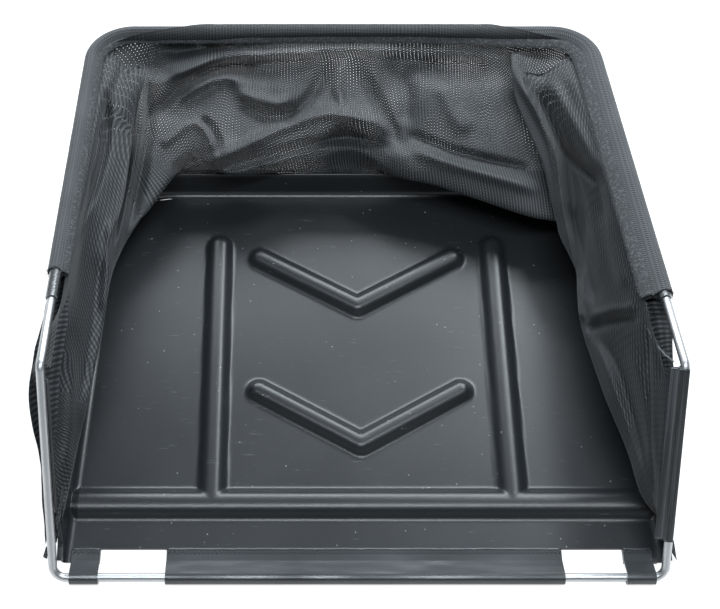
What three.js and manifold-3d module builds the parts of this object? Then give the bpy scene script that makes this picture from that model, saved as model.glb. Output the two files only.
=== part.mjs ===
// Grass catcher for a reel mower: a moulded tray, a wire and tube frame, and a slack mesh bag
// that is stitched to the tray and hangs from the frame. Millimetres, +Z up, +Y to the rear.
// The origin is on the tray's underside, at the middle of its floor.
import * as THREE from 'three';
import { mergeVertices } from 'three/addons/utils/BufferGeometryUtils.js';
import Module from 'manifold-3d';

const wasm = await Module();
wasm.setup();

// Fit
const seatGap = 0.3;              // clearance between pieces that touch

// Moulded tray
const sheet = 2;                  // thickness of the moulded sheet
const floorLength = 305;          // front edge to the rear base line
const floorHalfFront = 204.5;     // half width of the flat floor at its front edge
const floorHalfRear = 190;        // half width of the flat floor at its rear
const wallHeight = 24;            // outside height of the side and rear walls
const wallLean = 4;               // how far a wall leans out over its height
const baseFillet = 5;             // inside radius between floor and wall
const rearCorner = 45;            // plan radius of the two rear corners
const tongueReach = 10.5;         // how far the front tongues stand ahead of the front edge
const wallNose = 11;              // length over which the side walls slope down at the front
const noseHeight = 6;             // height of the side walls at the tip of the tongues

// Raised beads of the tray
const beadRise = 7;               // height above the floor
const longBeadWidth = 21;
const crossBeadWidth = 23.5;
const beadSteps = 5;              // facets from the crest of a bead to its foot
const beadThinning = 0.9;         // the sheet is a little thinner where it is stretched over a bead
const chevronWidth = 19;
const longBeadSpacing = 216;      // between the centre lines of the two long beads
const crossBeadSetback = 34.5;    // front edge to the centre line of the cross bead
const longBeadEnd = 257;          // front edge to the end centre of the long beads
const chevronHalfSpan = 75.5;     // apex to end centre, across the tray
const chevronAngle = 30.5;        // degrees between an arm and the cross direction
const chevronSetbacks = [82, 201];  // front edge to each apex

// Frame of round wire and tube
const rodRadius = 3;
const plugLength = 25;            // length of rod inside each tube end
const tubeWall = 0.9;
const frameHalfWidth = 212;       // centre line of the legs
const frameShift = -4;            // the frame hangs a little to the left of the tray
const barReach = 22.5;            // front edge of the tray to the centre of the front bar
const bendSetback = 74;           // front edge to the bend of each leg
const bendHeight = 131;
const jointSetback = 131;         // front edge to the mouths of the upper tube
const topSetback = 403;           // front edge to the top bar
const topHeight = 91;
const topHalfWidth = 196;         // half width of the top bar at its corners
const topLean = -6.8;             // the slack bag lets the top bar hang to the left
const frontCornerRadius = 8.8;
const bendRadius = 6;
const topCornerRadius = 32;

// Vinyl flap, tabs and clip strips
const vinyl = 1.4;
const flapHalfWidth = 138.5;
const loopGap = 0.5;              // clearance of a vinyl loop round the bar
const tabWidth = 20;
const leftTabInset = 9.5;         // edge of the floor to the middle of the left tab
const rightTabInset = 13;         // the same on the right
const legClearance = 16.5;        // least distance from a leg to the middle of its tab
const flapLap = 10;               // how far the flap lies back over the tongue
const hookStart = 78;             // degrees from the rear at which the vinyl meets the bar
const hookTurn = 240;             // degrees that the vinyl wraps round the bar
const hookSteps = 12;
const stripWall = 0.9;
const stripFlat = 6.5;              // flat part of a clip strip, which is sewn to the bag
const stripMouth = 35;            // degrees from the top to the open edge of the strip
const stripSteps = 28;
const stripRidges = 9;            // ridges over half a turn
const looseFlatTurn = -90;        // degrees that the loose strip is turned, so that its flat hangs down
const stripRidge = 0.25;          // height of the grip ridges on the strip
const stripTopInset = 3.8;        // bend to the top end of a strip, along the leg
const stripLength = 125;
const looseStripTopInset = 14;    // the left strip has slid down the hem of the bag
const looseStripLength = 98;      // and ends above the tray's rim
const looseStripDrop = 9;         // how far the unclipped left strip hangs below its leg

// Mesh bag
const foldDepth = 100;            // reach of a fold whose station calls it 1
const cloth = 1.4;                // thickness that stands for the doubled, stitched mesh
const marginDepth = 11;           // how far the bag laps down the outside of the walls
const marginGap = 0.7;            // the margin lies loosely on the wall, more so round the rear corners
const sleeveCloth = 1.3;
const sleeveTailLeft = 8.5;       // tube centre to the sewn edge of the sleeve, left side
const sleeveTailRight = 16;       // the same on the right side
const sleeveStartLeft = 23;       // tube mouth to the end of the sleeve, left side
const sleeveStartRight = 3;
const sewnGap = 1.6;              // sewn edge of the sleeve or strip to the middle of the mesh
const sleeveStep = 24;            // longest facet of the sleeve
const sleeveDrop = 0.45;          // how low the sewn edge stands below the tube centre, in sleeve radii
const seamGap = 2;                // between two panels, where the seam tape lies

// Values that follow from the sizes above
const frontY = -floorLength / 2;
const rearY = floorLength / 2;
const tubeBore = rodRadius + seatGap;
const tubeRadius = tubeBore + tubeWall;
const barY = frontY - barReach;
const barZ = vinyl + loopGap + rodRadius;
const leftTabX = -Math.min(floorHalfFront - leftTabInset, frameHalfWidth - frameShift - legClearance);
const rightTabX = Math.min(floorHalfFront - rightTabInset, frameHalfWidth + frameShift - legClearance);
const sleeveBore = tubeRadius + seatGap;
const sleeveRadius = sleeveBore + sleeveCloth;
const leanAngle = Math.atan2(wallLean, wallHeight);

// A closed shell with its shared vertices merged, as a solid for joining and cutting
function solid(geometry) {
  const bare = geometry.index ? geometry.toNonIndexed() : geometry.clone();
  bare.deleteAttribute('normal');
  bare.deleteAttribute('uv');
  const merged = mergeVertices(bare, 1e-4);
  return new wasm.Manifold(new wasm.Mesh({
    numProp: 3,
    vertProperties: new Float32Array(merged.attributes.position.array),
    triVerts: new Uint32Array(merged.index.array),
  }));
}

function geometryOf(body) {
  const mesh = body.getMesh();
  const geometry = new THREE.BufferGeometry();
  geometry.setAttribute('position', new THREE.BufferAttribute(new Float32Array(mesh.vertProperties), 3));
  geometry.setIndex(new THREE.BufferAttribute(new Uint32Array(mesh.triVerts), 1));
  geometry.computeVertexNormals();
  return geometry;
}

function unite(bodies) {
  return bodies.reduce((all, body) => all.add(body));
}

// Skin over a row of rings with as many points each; the two end rings are closed with caps
function loft(rings, capFaces) {
  const count = rings[0].length;
  const positions = rings.flat().flatMap((p) => [p.x, p.y, p.z]);
  const index = [];
  for (let r = 0; r + 1 < rings.length; r++) {
    for (let i = 0; i < count; i++) {
      const a = r * count + i;
      const b = r * count + (i + 1) % count;
      index.push(a, b, b + count, a, b + count, a + count);
    }
  }
  const last = (rings.length - 1) * count;
  for (const [a, b, c] of capFaces) {
    index.push(c, b, a, last + a, last + b, last + c);
  }
  const geometry = new THREE.BufferGeometry();
  geometry.setAttribute('position', new THREE.Float32BufferAttribute(positions, 3));
  geometry.setIndex(index);
  return geometry;
}

function circle(radius, sides) {
  return Array.from({ length: sides }, (_, i) => {
    const turn = 2 * Math.PI * i / sides;
    return new THREE.Vector2(radius * Math.cos(turn), radius * Math.sin(turn));
  });
}

// Path through corner points, with each inner corner rounded to its own radius
function roundedPath(corners, radii, arcSteps) {
  const path = [corners[0].clone()];
  for (let i = 1; i + 1 < corners.length; i++) {
    const back = corners[i - 1].clone().sub(corners[i]).normalize();
    const ahead = corners[i + 1].clone().sub(corners[i]).normalize();
    const half = Math.acos(THREE.MathUtils.clamp(back.dot(ahead), -1, 1)) / 2;
    const reach = radii[i - 1] / Math.tan(half);
    const middle = back.clone().add(ahead).normalize();
    const centre = corners[i].clone().addScaledVector(middle, radii[i - 1] / Math.sin(half));
    const from = corners[i].clone().addScaledVector(back, reach).sub(centre);
    const to = corners[i].clone().addScaledVector(ahead, reach).sub(centre);
    const sweepAngle = from.angleTo(to);
    for (let k = 0; k <= arcSteps; k++) {
      const t = k / arcSteps;
      const a = Math.sin((1 - t) * sweepAngle) / Math.sin(sweepAngle);
      const b = Math.sin(t * sweepAngle) / Math.sin(sweepAngle);
      path.push(centre.clone().addScaledVector(from, a).addScaledVector(to, b));
    }
  }
  path.push(corners[corners.length - 1].clone());
  return path;
}

// Frames along a path; side stays level with the given up direction
function framesAlong(path, up) {
  return path.map((point, i) => {
    const before = path[Math.max(i - 1, 0)];
    const after = path[Math.min(i + 1, path.length - 1)];
    const forward = after.clone().sub(before).normalize();
    const side = new THREE.Vector3().crossVectors(up, forward).normalize();
    return { point, forward, side, top: new THREE.Vector3().crossVectors(forward, side) };
  });
}

// Carry a section along a path; section(i) gives its points as (side, top) distances
function sweep(path, up, section) {
  const frames = framesAlong(path, up);
  const rings = frames.map((frame, i) => section(i, frame).map((p) => frame.point.clone()
    .addScaledVector(frame.side, p.x).addScaledVector(frame.top, p.y)));
  return loft(rings, THREE.ShapeUtils.triangulateShape(section(0, frames[0]), []));
}

// Half width of the floor's flat at a distance along the tray
function floorHalf(y) {
  return THREE.MathUtils.mapLinear(y, frontY, rearY, floorHalfFront, floorHalfRear);
}

// Plan outline of the tray, moved out by a distance, from front left round the rear to front right
function trayOutline(out, z) {
  const nose = frontY - 2 * tongueReach;
  const arcY = rearY - rearCorner;
  const arcX = floorHalf(arcY) - rearCorner;
  const half = [new THREE.Vector3(floorHalf(nose) + out, nose, z)];
  for (let k = 0; k <= 9; k++) {
    const turn = k / 9 * Math.PI / 2;
    const radius = rearCorner + out;
    half.push(new THREE.Vector3(arcX + radius * Math.cos(turn), arcY + radius * Math.sin(turn), z));
  }
  const mirrored = half.map((p) => new THREE.Vector3(-p.x, p.y, p.z)).reverse();
  return [...half, ...mirrored];
}

// Bowl between the floor and the wall top: the outside at full radius, the inside one sheet in
function trayBowl(inset, foot, top) {
  const radius = baseFillet + sheet - inset;
  const centreZ = sheet + baseFillet;
  const levels = [];
  for (let k = 0; k <= 5; k++) {
    const turn = -Math.PI / 2 + k / 5 * (Math.PI / 2 - leanAngle);
    levels.push([radius * Math.cos(turn), centreZ + radius * Math.sin(turn)]);
  }
  const [lastOut, lastZ] = levels[levels.length - 1];
  levels.push([lastOut + (top - lastZ) * Math.tan(leanAngle), top]);
  levels[0][1] = foot;
  const rings = levels.map(([out, z]) => trayOutline(out, z));
  const flat = rings[0].map((p) => new THREE.Vector2(p.x, p.y));
  return solid(loft(rings, THREE.ShapeUtils.triangulateShape(flat, [])));
}

// Height of a bead over its half width, 1 at the crest and 0 at the foot
function beadShape(across) {
  return 0.5 + 0.5 * Math.cos(Math.PI * across * across);
}

// One straight bead with domed ends; it stands on foot and reaches crest
function bead(from, to, halfWidth, foot, crest) {
  const half = [];
  for (let k = 0; k <= beadSteps; k++) {
    const across = k / beadSteps;
    half.push([halfWidth * across, foot + (crest - foot) * beadShape(across)]);
  }
  const below = foot - sheet / 2;
  const lathe = [...half, [halfWidth, below], [0, below]].map(([r, z]) => new THREE.Vector2(r, z));
  const dome = new THREE.LatheGeometry(lathe.reverse(), 4 * beadSteps);
  dome.rotateX(Math.PI / 2);
  const section = [
    ...half.slice(1).reverse().map(([r, z]) => new THREE.Vector2(-r, z)),
    ...half.map(([r, z]) => new THREE.Vector2(r, z)),
    new THREE.Vector2(halfWidth, below),
    new THREE.Vector2(-halfWidth, below),
  ].reverse();
  const bar = sweep([from, to], new THREE.Vector3(0, 0, 1), () => section);
  const ends = [from, to].map((end) => solid(dome.clone().translate(end.x, end.y, 0)));
  return unite([solid(bar), ...ends]);
}

// Centre lines of the beads as pairs of end points with their widths
function beadLines() {
  const at = (x, setback) => new THREE.Vector3(x, frontY + setback, 0);
  const lines = [];
  for (const side of [-1, 1]) {
    const x = side * longBeadSpacing / 2;
    lines.push([at(x, crossBeadSetback), at(x, longBeadEnd), longBeadWidth]);
    for (const apex of chevronSetbacks) {
      const rise = chevronHalfSpan * Math.tan(THREE.MathUtils.degToRad(chevronAngle));
      lines.push([at(0, apex), at(side * chevronHalfSpan, apex + rise), chevronWidth]);
    }
  }
  return lines;
}

function box(x0, x1, y0, y1, z0, z1) {
  const geometry = new THREE.BoxGeometry(x1 - x0, y1 - y0, z1 - z0);
  geometry.translate((x0 + x1) / 2, (y0 + y1) / 2, (z0 + z1) / 2);
  return geometry;
}

// What is left of the tray once its front is trimmed: tongues for the vinyl, and sloping wall ends
function trimmedTray() {
  const wide = 2 * floorHalfFront;
  const rear = rearY + wide;
  const leftTongue = leftTabX + tabWidth / 2;
  const rightTongue = rightTabX - tabWidth / 2;
  const tip = frontY - tongueReach;
  const plan = unite([
    solid(box(-wide, wide, frontY, rear, -sheet, 2 * wallHeight)),
    ...[[-wide, leftTongue], [-flapHalfWidth, flapHalfWidth], [rightTongue, wide]]
      .map(([x0, x1]) => solid(box(x0, x1, tip, frontY + 1, -sheet, 2 * wallHeight))),
  ]);
  const side = new THREE.Shape([
    [tip - 1, -sheet], [rear, -sheet], [rear, 2 * wallHeight], [frontY + wallNose, 2 * wallHeight],
    [frontY + wallNose, wallHeight], [frontY, noseHeight + (wallHeight - noseHeight) / 4],
    [tip - 1, noseHeight],
  ].map(([y, z]) => new THREE.Vector2(y, z)));
  const profile = new THREE.ExtrudeGeometry(side, { depth: 2 * wide, bevelEnabled: false });
  profile.applyMatrix4(new THREE.Matrix4().makeBasis(
    new THREE.Vector3(0, 1, 0), new THREE.Vector3(0, 0, 1), new THREE.Vector3(1, 0, 0)));
  profile.translate(-wide, 0, 0);
  return plan.intersect(solid(profile));
}

function tray() {
  const outside = trayBowl(0, 0, wallHeight);
  const inside = trayBowl(sheet, sheet, wallHeight + 1);
  const crest = sheet + beadRise;
  const crossY = frontY + crossBeadSetback;
  const crossEnd = new THREE.Vector3(floorHalf(crossY), crossY, 0);
  const crossStart = crossEnd.clone().setX(-crossEnd.x);
  const lines = beadLines();
  const beads = lines.map(([from, to, width]) => bead(from, to, width / 2, sheet, crest));
  const crossBead = bead(crossStart, crossEnd, crossBeadWidth / 2, sheet, crest).intersect(outside);
  const slim = sheet * beadThinning / 2;
  const hollows = lines.map(([from, to, width]) => bead(from, to, width / 2 - slim, 0, beadRise));
  const inwards = new THREE.Vector3(crossBeadWidth / 2, 0, 0);
  hollows.push(bead(crossStart.add(inwards), crossEnd.sub(inwards),
    crossBeadWidth / 2 - slim, 0, beadRise));
  const shell = outside.subtract(inside).add(unite([crossBead, ...beads]));
  return geometryOf(shell.subtract(unite(hollows)).intersect(trimmedTray()));
}

// Corner points of the frame on one side: -1 is left, 1 is right
function frameCorners(side) {
  const x = frameShift + side * frameHalfWidth;
  return {
    front: new THREE.Vector3(x, barY, barZ),
    bend: new THREE.Vector3(x, frontY + bendSetback, bendHeight),
    top: new THREE.Vector3(frameShift + topLean + side * topHalfWidth, frontY + topSetback, topHeight),
  };
}

// Point of the upper leg, at a setback from the tray's front edge
function upperLegPoint(side, setback) {
  const { bend, top } = frameCorners(side);
  return bend.clone().lerp(top, (setback - bendSetback) / (topSetback - bendSetback));
}

function lowerRod() {
  const left = frameCorners(-1);
  const right = frameCorners(1);
  const plug = jointSetback + plugLength;
  const path = roundedPath(
    [upperLegPoint(-1, plug), left.bend, left.front, right.front, right.bend, upperLegPoint(1, plug)],
    [bendRadius, frontCornerRadius, frontCornerRadius, bendRadius], 6);
  return rounded(path, rodRadius, 12);
}

// Round bar along a path, with frames that never twist
function rounded(path, radius, sides) {
  const frames = [];
  let side = null;
  path.forEach((point, i) => {
    const before = path[Math.max(i - 1, 0)];
    const after = path[Math.min(i + 1, path.length - 1)];
    const forward = after.clone().sub(before).normalize();
    const start = side ?? new THREE.Vector3(1, 0, 0);
    side = start.clone().addScaledVector(forward, -start.dot(forward)).normalize();
    frames.push({ point, side, top: new THREE.Vector3().crossVectors(forward, side) });
  });
  const section = circle(radius, sides);
  const rings = frames.map((frame) => section.map((p) => frame.point.clone()
    .addScaledVector(frame.side, p.x).addScaledVector(frame.top, p.y)));
  return loft(rings, THREE.ShapeUtils.triangulateShape(section, []));
}

// The same path with points added so that no step is longer than a limit
function densified(path, longest) {
  return path.flatMap((point, i) => {
    if (i === 0) {
      return [point];
    }
    const steps = Math.ceil(point.distanceTo(path[i - 1]) / longest);
    return Array.from({ length: steps }, (_, k) => path[i - 1].clone().lerp(point, (k + 1) / steps));
  });
}

// Path of the tube from a setback on its left leg to a setback on its right leg
function tubePath(leftSetback, rightSetback, arcSteps) {
  const left = frameCorners(-1).top;
  const right = frameCorners(1).top;
  return roundedPath([upperLegPoint(-1, leftSetback), left, right, upperLegPoint(1, rightSetback)],
    [topCornerRadius, topCornerRadius], arcSteps);
}

function upperTube() {
  const outer = solid(rounded(tubePath(jointSetback, jointSetback, 8), tubeRadius, 12));
  const past = jointSetback - 2;
  const bore = solid(rounded(tubePath(past, past, 8), tubeBore, 12));
  return geometryOf(outer.subtract(bore));
}

// Up direction across the plane of the upper tube
function tubePlaneUp() {
  const { bend, top } = frameCorners(1);
  return new THREE.Vector3(1, 0, 0).cross(top.clone().sub(bend)).normalize();
}

// How far the sewn edge of the sleeve stands in from the tube, for a place across the bag
function sleeveTail(x) {
  const share = THREE.MathUtils.clamp(0.5 + x / (2 * topHalfWidth), 0, 1);
  return THREE.MathUtils.lerp(sleeveTailLeft, sleeveTailRight, THREE.MathUtils.smoothstep(share, 0.6, 1));
}

// Teardrop section of the sleeve: round the tube, then flat to the sewn edge; side points outwards
function sleeveSection(tail) {
  const points = [];
  const turns = 12;
  for (let k = 0; k <= turns; k++) {
    const turn = THREE.MathUtils.degToRad(THREE.MathUtils.lerp(-125, 105, k / turns));
    points.push(new THREE.Vector2(sleeveRadius * Math.cos(turn), sleeveRadius * Math.sin(turn)));
  }
  const drop = -sleeveDrop * sleeveRadius;
  points.push(new THREE.Vector2(-tail, drop + sleeveCloth));
  points.push(new THREE.Vector2(-tail, drop - sleeveCloth / 2));
  return points;
}

function sleeve() {
  const path = densified(tubePath(jointSetback + sleeveStartLeft, jointSetback + sleeveStartRight, 8),
    sleeveStep);
  const up = tubePlaneUp();
  const outer = solid(sweep(path, up, (i, frame) => sleeveSection(sleeveTail(frame.point.x))));
  const bore = solid(rounded(tubePath(jointSetback, jointSetback - 2, 8), sleeveBore, 12));
  return geometryOf(outer.subtract(bore));
}

// Vinyl strip that lies over the tray's tongue and hooks round the front bar
function barFlap(x0, x1) {
  const inner = rodRadius + loopGap;
  const outer = inner + vinyl;
  const ring = (radius, from, to) => Array.from({ length: hookSteps + 1 }, (_, k) => {
    const turn = THREE.MathUtils.degToRad(THREE.MathUtils.lerp(from, to, k / hookSteps));
    return new THREE.Vector2(barY + radius * Math.cos(turn), barZ + radius * Math.sin(turn));
  });
  const tongueTip = frontY - tongueReach;
  const lapEnd = tongueTip + flapLap;
  const seat = sheet + seatGap;
  const points = [
    new THREE.Vector2(lapEnd, seat),
    new THREE.Vector2(lapEnd, seat + vinyl),
    new THREE.Vector2(tongueTip + 1, seat + vinyl),
    ...ring(outer, hookStart, hookStart + hookTurn),
    ...ring(inner, hookStart + hookTurn, hookStart),
    new THREE.Vector2(tongueTip + 1, seat),
  ];
  const geometry = new THREE.ExtrudeGeometry(new THREE.Shape(points), { depth: x1 - x0, bevelEnabled: false });
  geometry.applyMatrix4(new THREE.Matrix4().makeBasis(
    new THREE.Vector3(0, 1, 0), new THREE.Vector3(0, 0, 1), new THREE.Vector3(1, 0, 0)));
  return geometry.translate(x0, 0, 0);
}

// Section of a clip strip: a ridged C round the leg and a flat edge for sewing
function stripSection(flatAngle) {
  const inner = rodRadius + seatGap;
  const outer = inner + stripWall;
  const mouth = THREE.MathUtils.degToRad(stripMouth);
  const arc = (radiusAt, from, to) => Array.from({ length: stripSteps + 1 }, (_, k) => {
    const turn = THREE.MathUtils.lerp(from, to, k / stripSteps);
    return new THREE.Vector2(radiusAt(turn) * Math.cos(turn), radiusAt(turn) * Math.sin(turn));
  });
  const ridged = (turn) => outer + stripRidge * Math.cos(turn * stripRidges) ** 2;
  const points = [
    ...arc(ridged, mouth - Math.PI, Math.PI - mouth / 3),
    new THREE.Vector2(-inner - stripFlat, stripWall),
    new THREE.Vector2(-inner - stripFlat, 0),
    ...arc(() => inner, Math.PI - mouth / 3, mouth - Math.PI),
  ];
  const inwards = points.map((p) => new THREE.Vector2(-p.x, p.y)).reverse();
  return inwards.map((p) => p.rotateAround(new THREE.Vector2(), flatAngle));
}

// Directions at a leg: down along it, in towards the bag, and square to both, up and forward
function legDirections(side) {
  const { front, bend } = frameCorners(side);
  const down = front.clone().sub(bend).normalize();
  return { down, inward: new THREE.Vector3(-side, 0, 0), top: new THREE.Vector3(0, down.z, -down.y) };
}

// How the unclipped left strip lies: a little out from its leg and behind it
function looseOffset() {
  const { inward, top } = legDirections(-1);
  return inward.clone().negate().addScaledVector(top, -looseStripDrop);
}

function clipStrip(side, inset, length, offset, flatAngle) {
  const { down } = legDirections(side);
  const start = frameCorners(side).bend.addScaledVector(down, inset).add(offset);
  const end = start.clone().addScaledVector(down, length);
  const section = stripSection(flatAngle).map((p) => new THREE.Vector2(side * p.x, p.y));
  const ordered = side > 0 ? section : section.reverse();
  return sweep([end, start], new THREE.Vector3(0, 0, 1), () => ordered);
}

// How far the outside of the wall stands from the floor's edge at a height
function wallOutside(z) {
  return (baseFillet + sheet) / Math.cos(leanAngle) + (z - sheet - baseFillet) * Math.tan(leanAngle);
}

// Point on a polyline at a share of its length
function pointAt(line, share) {
  const lengths = line.slice(1).map((p, i) => p.distanceTo(line[i]));
  let left = THREE.MathUtils.clamp(share, 0, 1) * lengths.reduce((sum, length) => sum + length);
  for (let i = 0; i < lengths.length; i++) {
    if (left <= lengths[i] || i === lengths.length - 1) {
      return line[i].clone().lerp(line[i + 1], left / lengths[i]);
    }
    left -= lengths[i];
  }
}

// Smooth value between evenly spaced stations
function between(values, share) {
  const place = THREE.MathUtils.clamp(share, 0, 1) * (values.length - 1);
  const i = Math.min(Math.floor(place), values.length - 2);
  const t = place - i;
  const [a, b, c, d] = [i - 1, i, i + 1, i + 2]
    .map((k) => values[THREE.MathUtils.clamp(k, 0, values.length - 1)]);
  return b + t * ((c - a) / 2 + t * (a - 2.5 * b + 2 * c - d / 2 + t * (1.5 * (b - c) + (d - a) / 2)));
}

// Middle of the wall's rim on one side, moved out, from its front end to the middle of its rear corner
function sideRim(side, out, z) {
  const outline = trayOutline(out, z);
  const right = outline.slice(0, 6);
  right[0] = new THREE.Vector3(floorHalf(frontY + wallNose) + out, frontY + wallNose, z);
  return right.map((p) => new THREE.Vector3(side * p.x, p.y, z));
}

function backRim(out, z) {
  return trayOutline(out, z).slice(5, -5).reverse();
}

// Centre line that the bag hangs from on one side: up the leg, over the bend and back to the corner
function sideTop(side) {
  const { front, bend } = frameCorners(side);
  const low = bend.clone().lerp(front, (stripTopInset + stripLength) / bend.distanceTo(front));
  const tube = tubePath(jointSetback, jointSetback, 8);
  const corner = side < 0 ? tube.slice(1, 6) : tube.slice(14, 19).reverse();
  return [low, bend, ...corner];
}

function backTop() {
  return tubePath(jointSetback, jointSetback, 8).slice(5, 15);
}

// Each side of the bag: the lines it runs between, which way is in, and its folds.
// A station lists points of one profile from the top edge down: the height as a share of the way
// from rim to frame, and how far the mesh stands in from the straight line between them, as a
// share of the fold depth.
const bagSides = {
  left: {
    rim: (out, z) => sideRim(-1, out, z),
    top: sideTop(-1),
    inwards: [[1, 0], [1, 0], [1, 0], [1, 0], [1, -0.1], [0.7, -0.7]],
    seamed: [false, true],
    columns: 26,
    stations: [
      [[0.1, -0.09], [0.08, -0.09], [0.06, -0.08], [0.04, -0.06], [0.02, -0.04]],
      [[0.72, -0.13], [0.6, -0.13], [0.46, -0.09], [0.3, 0], [0.14, 0.03]],
      [[0.84, -0.08], [0.72, -0.12], [0.52, 0], [0.34, 0.14], [0.14, 0.08]],
      [[0.82, 0.08], [0.7, 0.04], [0.56, 0.14], [0.4, 0.22], [0.18, 0.12]],
      [[0.84, 0.09], [0.76, 0.05], [0.66, 0.16], [0.5, 0.28], [0.2, 0.16]],
      [[0.86, 0.2], [0.8, 0.16], [0.72, 0.32], [0.55, 0.46], [0.25, 0.34]],
    ],
  },
  back: {
    rim: backRim,
    top: backTop(),
    inwards: [[0.7, -0.7], [0.1, -1], [0, -1], [0, -1], [0, -1], [0, -1], [0, -1], [-0.1, -1], [-0.7, -0.7]],
    seamed: [true, true],
    columns: 34,
    stations: [
      [[0.86, 0.2], [0.8, 0.16], [0.72, 0.32], [0.55, 0.46], [0.25, 0.34]],
      [[0.84, 0.34], [0.78, 0.34], [0.58, 0.42], [0.4, 0.52], [0.2, 0.36]],
      [[0.9, 0.22], [0.76, 0.28], [0.62, 0.36], [0.42, 0.48], [0.2, 0.22]],
      [[0.92, 0.12], [0.84, 0.24], [0.68, 0.34], [0.5, 0.38], [0.24, 0.1]],
      [[0.94, 0.1], [0.84, 0.26], [0.7, 0.34], [0.58, 0.38], [0.24, 0.02]],
      [[0.93, 0.12], [0.8, 0.26], [0.66, 0.38], [0.46, 0.42], [0.22, 0.08]],
      [[0.91, 0.12], [0.78, 0.28], [0.56, 0.48], [0.38, 0.6], [0.16, 0.26]],
      [[0.9, 0.14], [0.76, 0.3], [0.48, 0.6], [0.3, 0.66], [0.14, 0.34]],
      [[0.9, 0.17], [0.83, 0.14], [0.72, 0.34], [0.5, 0.58], [0.22, 0.4]],
    ],
  },
  right: {
    rim: (out, z) => sideRim(1, out, z),
    top: sideTop(1),
    inwards: [[-1, 0], [-1, 0], [-1, 0], [-1, 0], [-1, -0.1], [-0.7, -0.7]],
    seamed: [false, true],
    columns: 26,
    stations: [
      [[0.8, 0.12], [0.6, 0.1], [0.46, 0.09], [0.34, 0.08], [0.22, 0.04]],
      [[0.86, 0.11], [0.68, 0.14], [0.48, 0.16], [0.3, 0.18], [0.13, 0.16]],
      [[0.88, 0.16], [0.72, 0.2], [0.52, 0.26], [0.34, 0.3], [0.15, 0.28]],
      [[0.9, 0.17], [0.74, 0.21], [0.55, 0.27], [0.36, 0.34], [0.17, 0.34]],
      [[0.91, 0.18], [0.78, 0.23], [0.6, 0.28], [0.42, 0.37], [0.19, 0.4]],
      [[0.9, 0.17], [0.83, 0.14], [0.72, 0.34], [0.5, 0.58], [0.22, 0.4]],
    ],
  },
};

// Where the mesh leaves its top edge: the sewn edge of the sleeve, or the flat of a clip strip
function topEdge(top, inwards) {
  const alongLeg = top.y < frontY + bendSetback;
  const inLeft = top.x < frameShift;
  const sewn = rodRadius + seatGap + stripFlat + sewnGap;
  const reach = sleeveTail(top.x) + sewnGap + cloth / 2;
  const edge = top.clone();
  if (alongLeg && inLeft) {
    const leg = legDirections(-1);
    const turn = THREE.MathUtils.degToRad(looseFlatTurn);
    return edge.add(looseOffset()).addScaledVector(leg.inward, sewn * Math.cos(turn))
      .addScaledVector(leg.top, sewn * Math.sin(turn));
  }
  edge.addScaledVector(inwards, alongLeg ? sewn : reach);
  return edge.add(new THREE.Vector3(0, 0, alongLeg ? 0 : -sleeveDrop * sleeveRadius));
}

// Middle surface of one side of the bag as columns of points from the top edge to the lower margin
function panelColumns({ rim, top, inwards, seamed, columns, stations }) {
  const half = cloth / 2;
  const face = wallOutside(wallHeight) + marginGap + half;
  const low = wallOutside(wallHeight - marginDepth) + marginGap + half;
  const rows = 10;
  const rimTop = rim(face, wallHeight);
  const rimLow = rim(low, wallHeight - marginDepth);
  const length = rimTop.slice(1).reduce((sum, p, i) => sum + p.distanceTo(rimTop[i]), 0);
  const seam = seamGap / 2 / length;
  const [first, last] = seamed.map((sewn) => (sewn ? seam : 0));
  return Array.from({ length: columns + 1 }, (_, c) => {
    const share = THREE.MathUtils.lerp(first, 1 - last, c / columns);
    const base = pointAt(rimTop, share);
    const hang = pointAt(top, share);
    const inward = new THREE.Vector3(between(inwards.map((v) => v[0]), share),
      between(inwards.map((v) => v[1]), share), 0).normalize();
    const folds = stations[0].map((_, j) => {
      const height = between(stations.map((station) => station[j][0]), share);
      const reach = between(stations.map((station) => station[j][1]), share);
      return base.clone().lerp(hang, height).addScaledVector(inward, reach * foldDepth);
    });
    const lip = base.clone().add(new THREE.Vector3(0, 0, 2 * cloth));
    const curve = new THREE.CatmullRomCurve3([topEdge(hang, inward), ...folds, lip]);
    return [...curve.getPoints(rows), base, pointAt(rimLow, share)];
  });
}

// Closed shell of even thickness about a grid of points
function thicken(columns, thickness) {
  const width = columns.length;
  const depth = columns[0].length;
  const at = (c, r) => columns[THREE.MathUtils.clamp(c, 0, width - 1)][THREE.MathUtils.clamp(r, 0, depth - 1)];
  const front = [];
  const back = [];
  for (let c = 0; c < width; c++) {
    for (let r = 0; r < depth; r++) {
      const across = at(c + 1, r).clone().sub(at(c - 1, r));
      const down = at(c, r + 1).clone().sub(at(c, r - 1));
      const normal = across.cross(down).normalize();
      front.push(at(c, r).clone().addScaledVector(normal, thickness / 2));
      back.push(at(c, r).clone().addScaledVector(normal, -thickness / 2));
    }
  }
  const points = [...front, ...back];
  const other = front.length;
  const index = [];
  const quad = (a, b, c, d) => index.push(a, b, c, a, c, d);
  for (let c = 0; c + 1 < width; c++) {
    for (let r = 0; r + 1 < depth; r++) {
      const a = c * depth + r;
      quad(a, a + depth, a + depth + 1, a + 1);
      quad(other + a, other + a + 1, other + a + depth + 1, other + a + depth);
    }
  }
  for (let c = 0; c + 1 < width; c++) {
    const a = c * depth;
    const b = a + depth - 1;
    quad(a + depth, a, other + a, other + a + depth);
    quad(b, b + depth, other + b + depth, other + b);
  }
  for (let r = 0; r + 1 < depth; r++) {
    const b = (width - 1) * depth + r;
    quad(r, r + 1, other + r + 1, other + r);
    quad(b + 1, b, other + b, other + b + 1);
  }
  const geometry = new THREE.BufferGeometry();
  geometry.setAttribute('position', new THREE.Float32BufferAttribute(points.flatMap((p) => [p.x, p.y, p.z]), 3));
  geometry.setIndex(index);
  return geometry;
}

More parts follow.
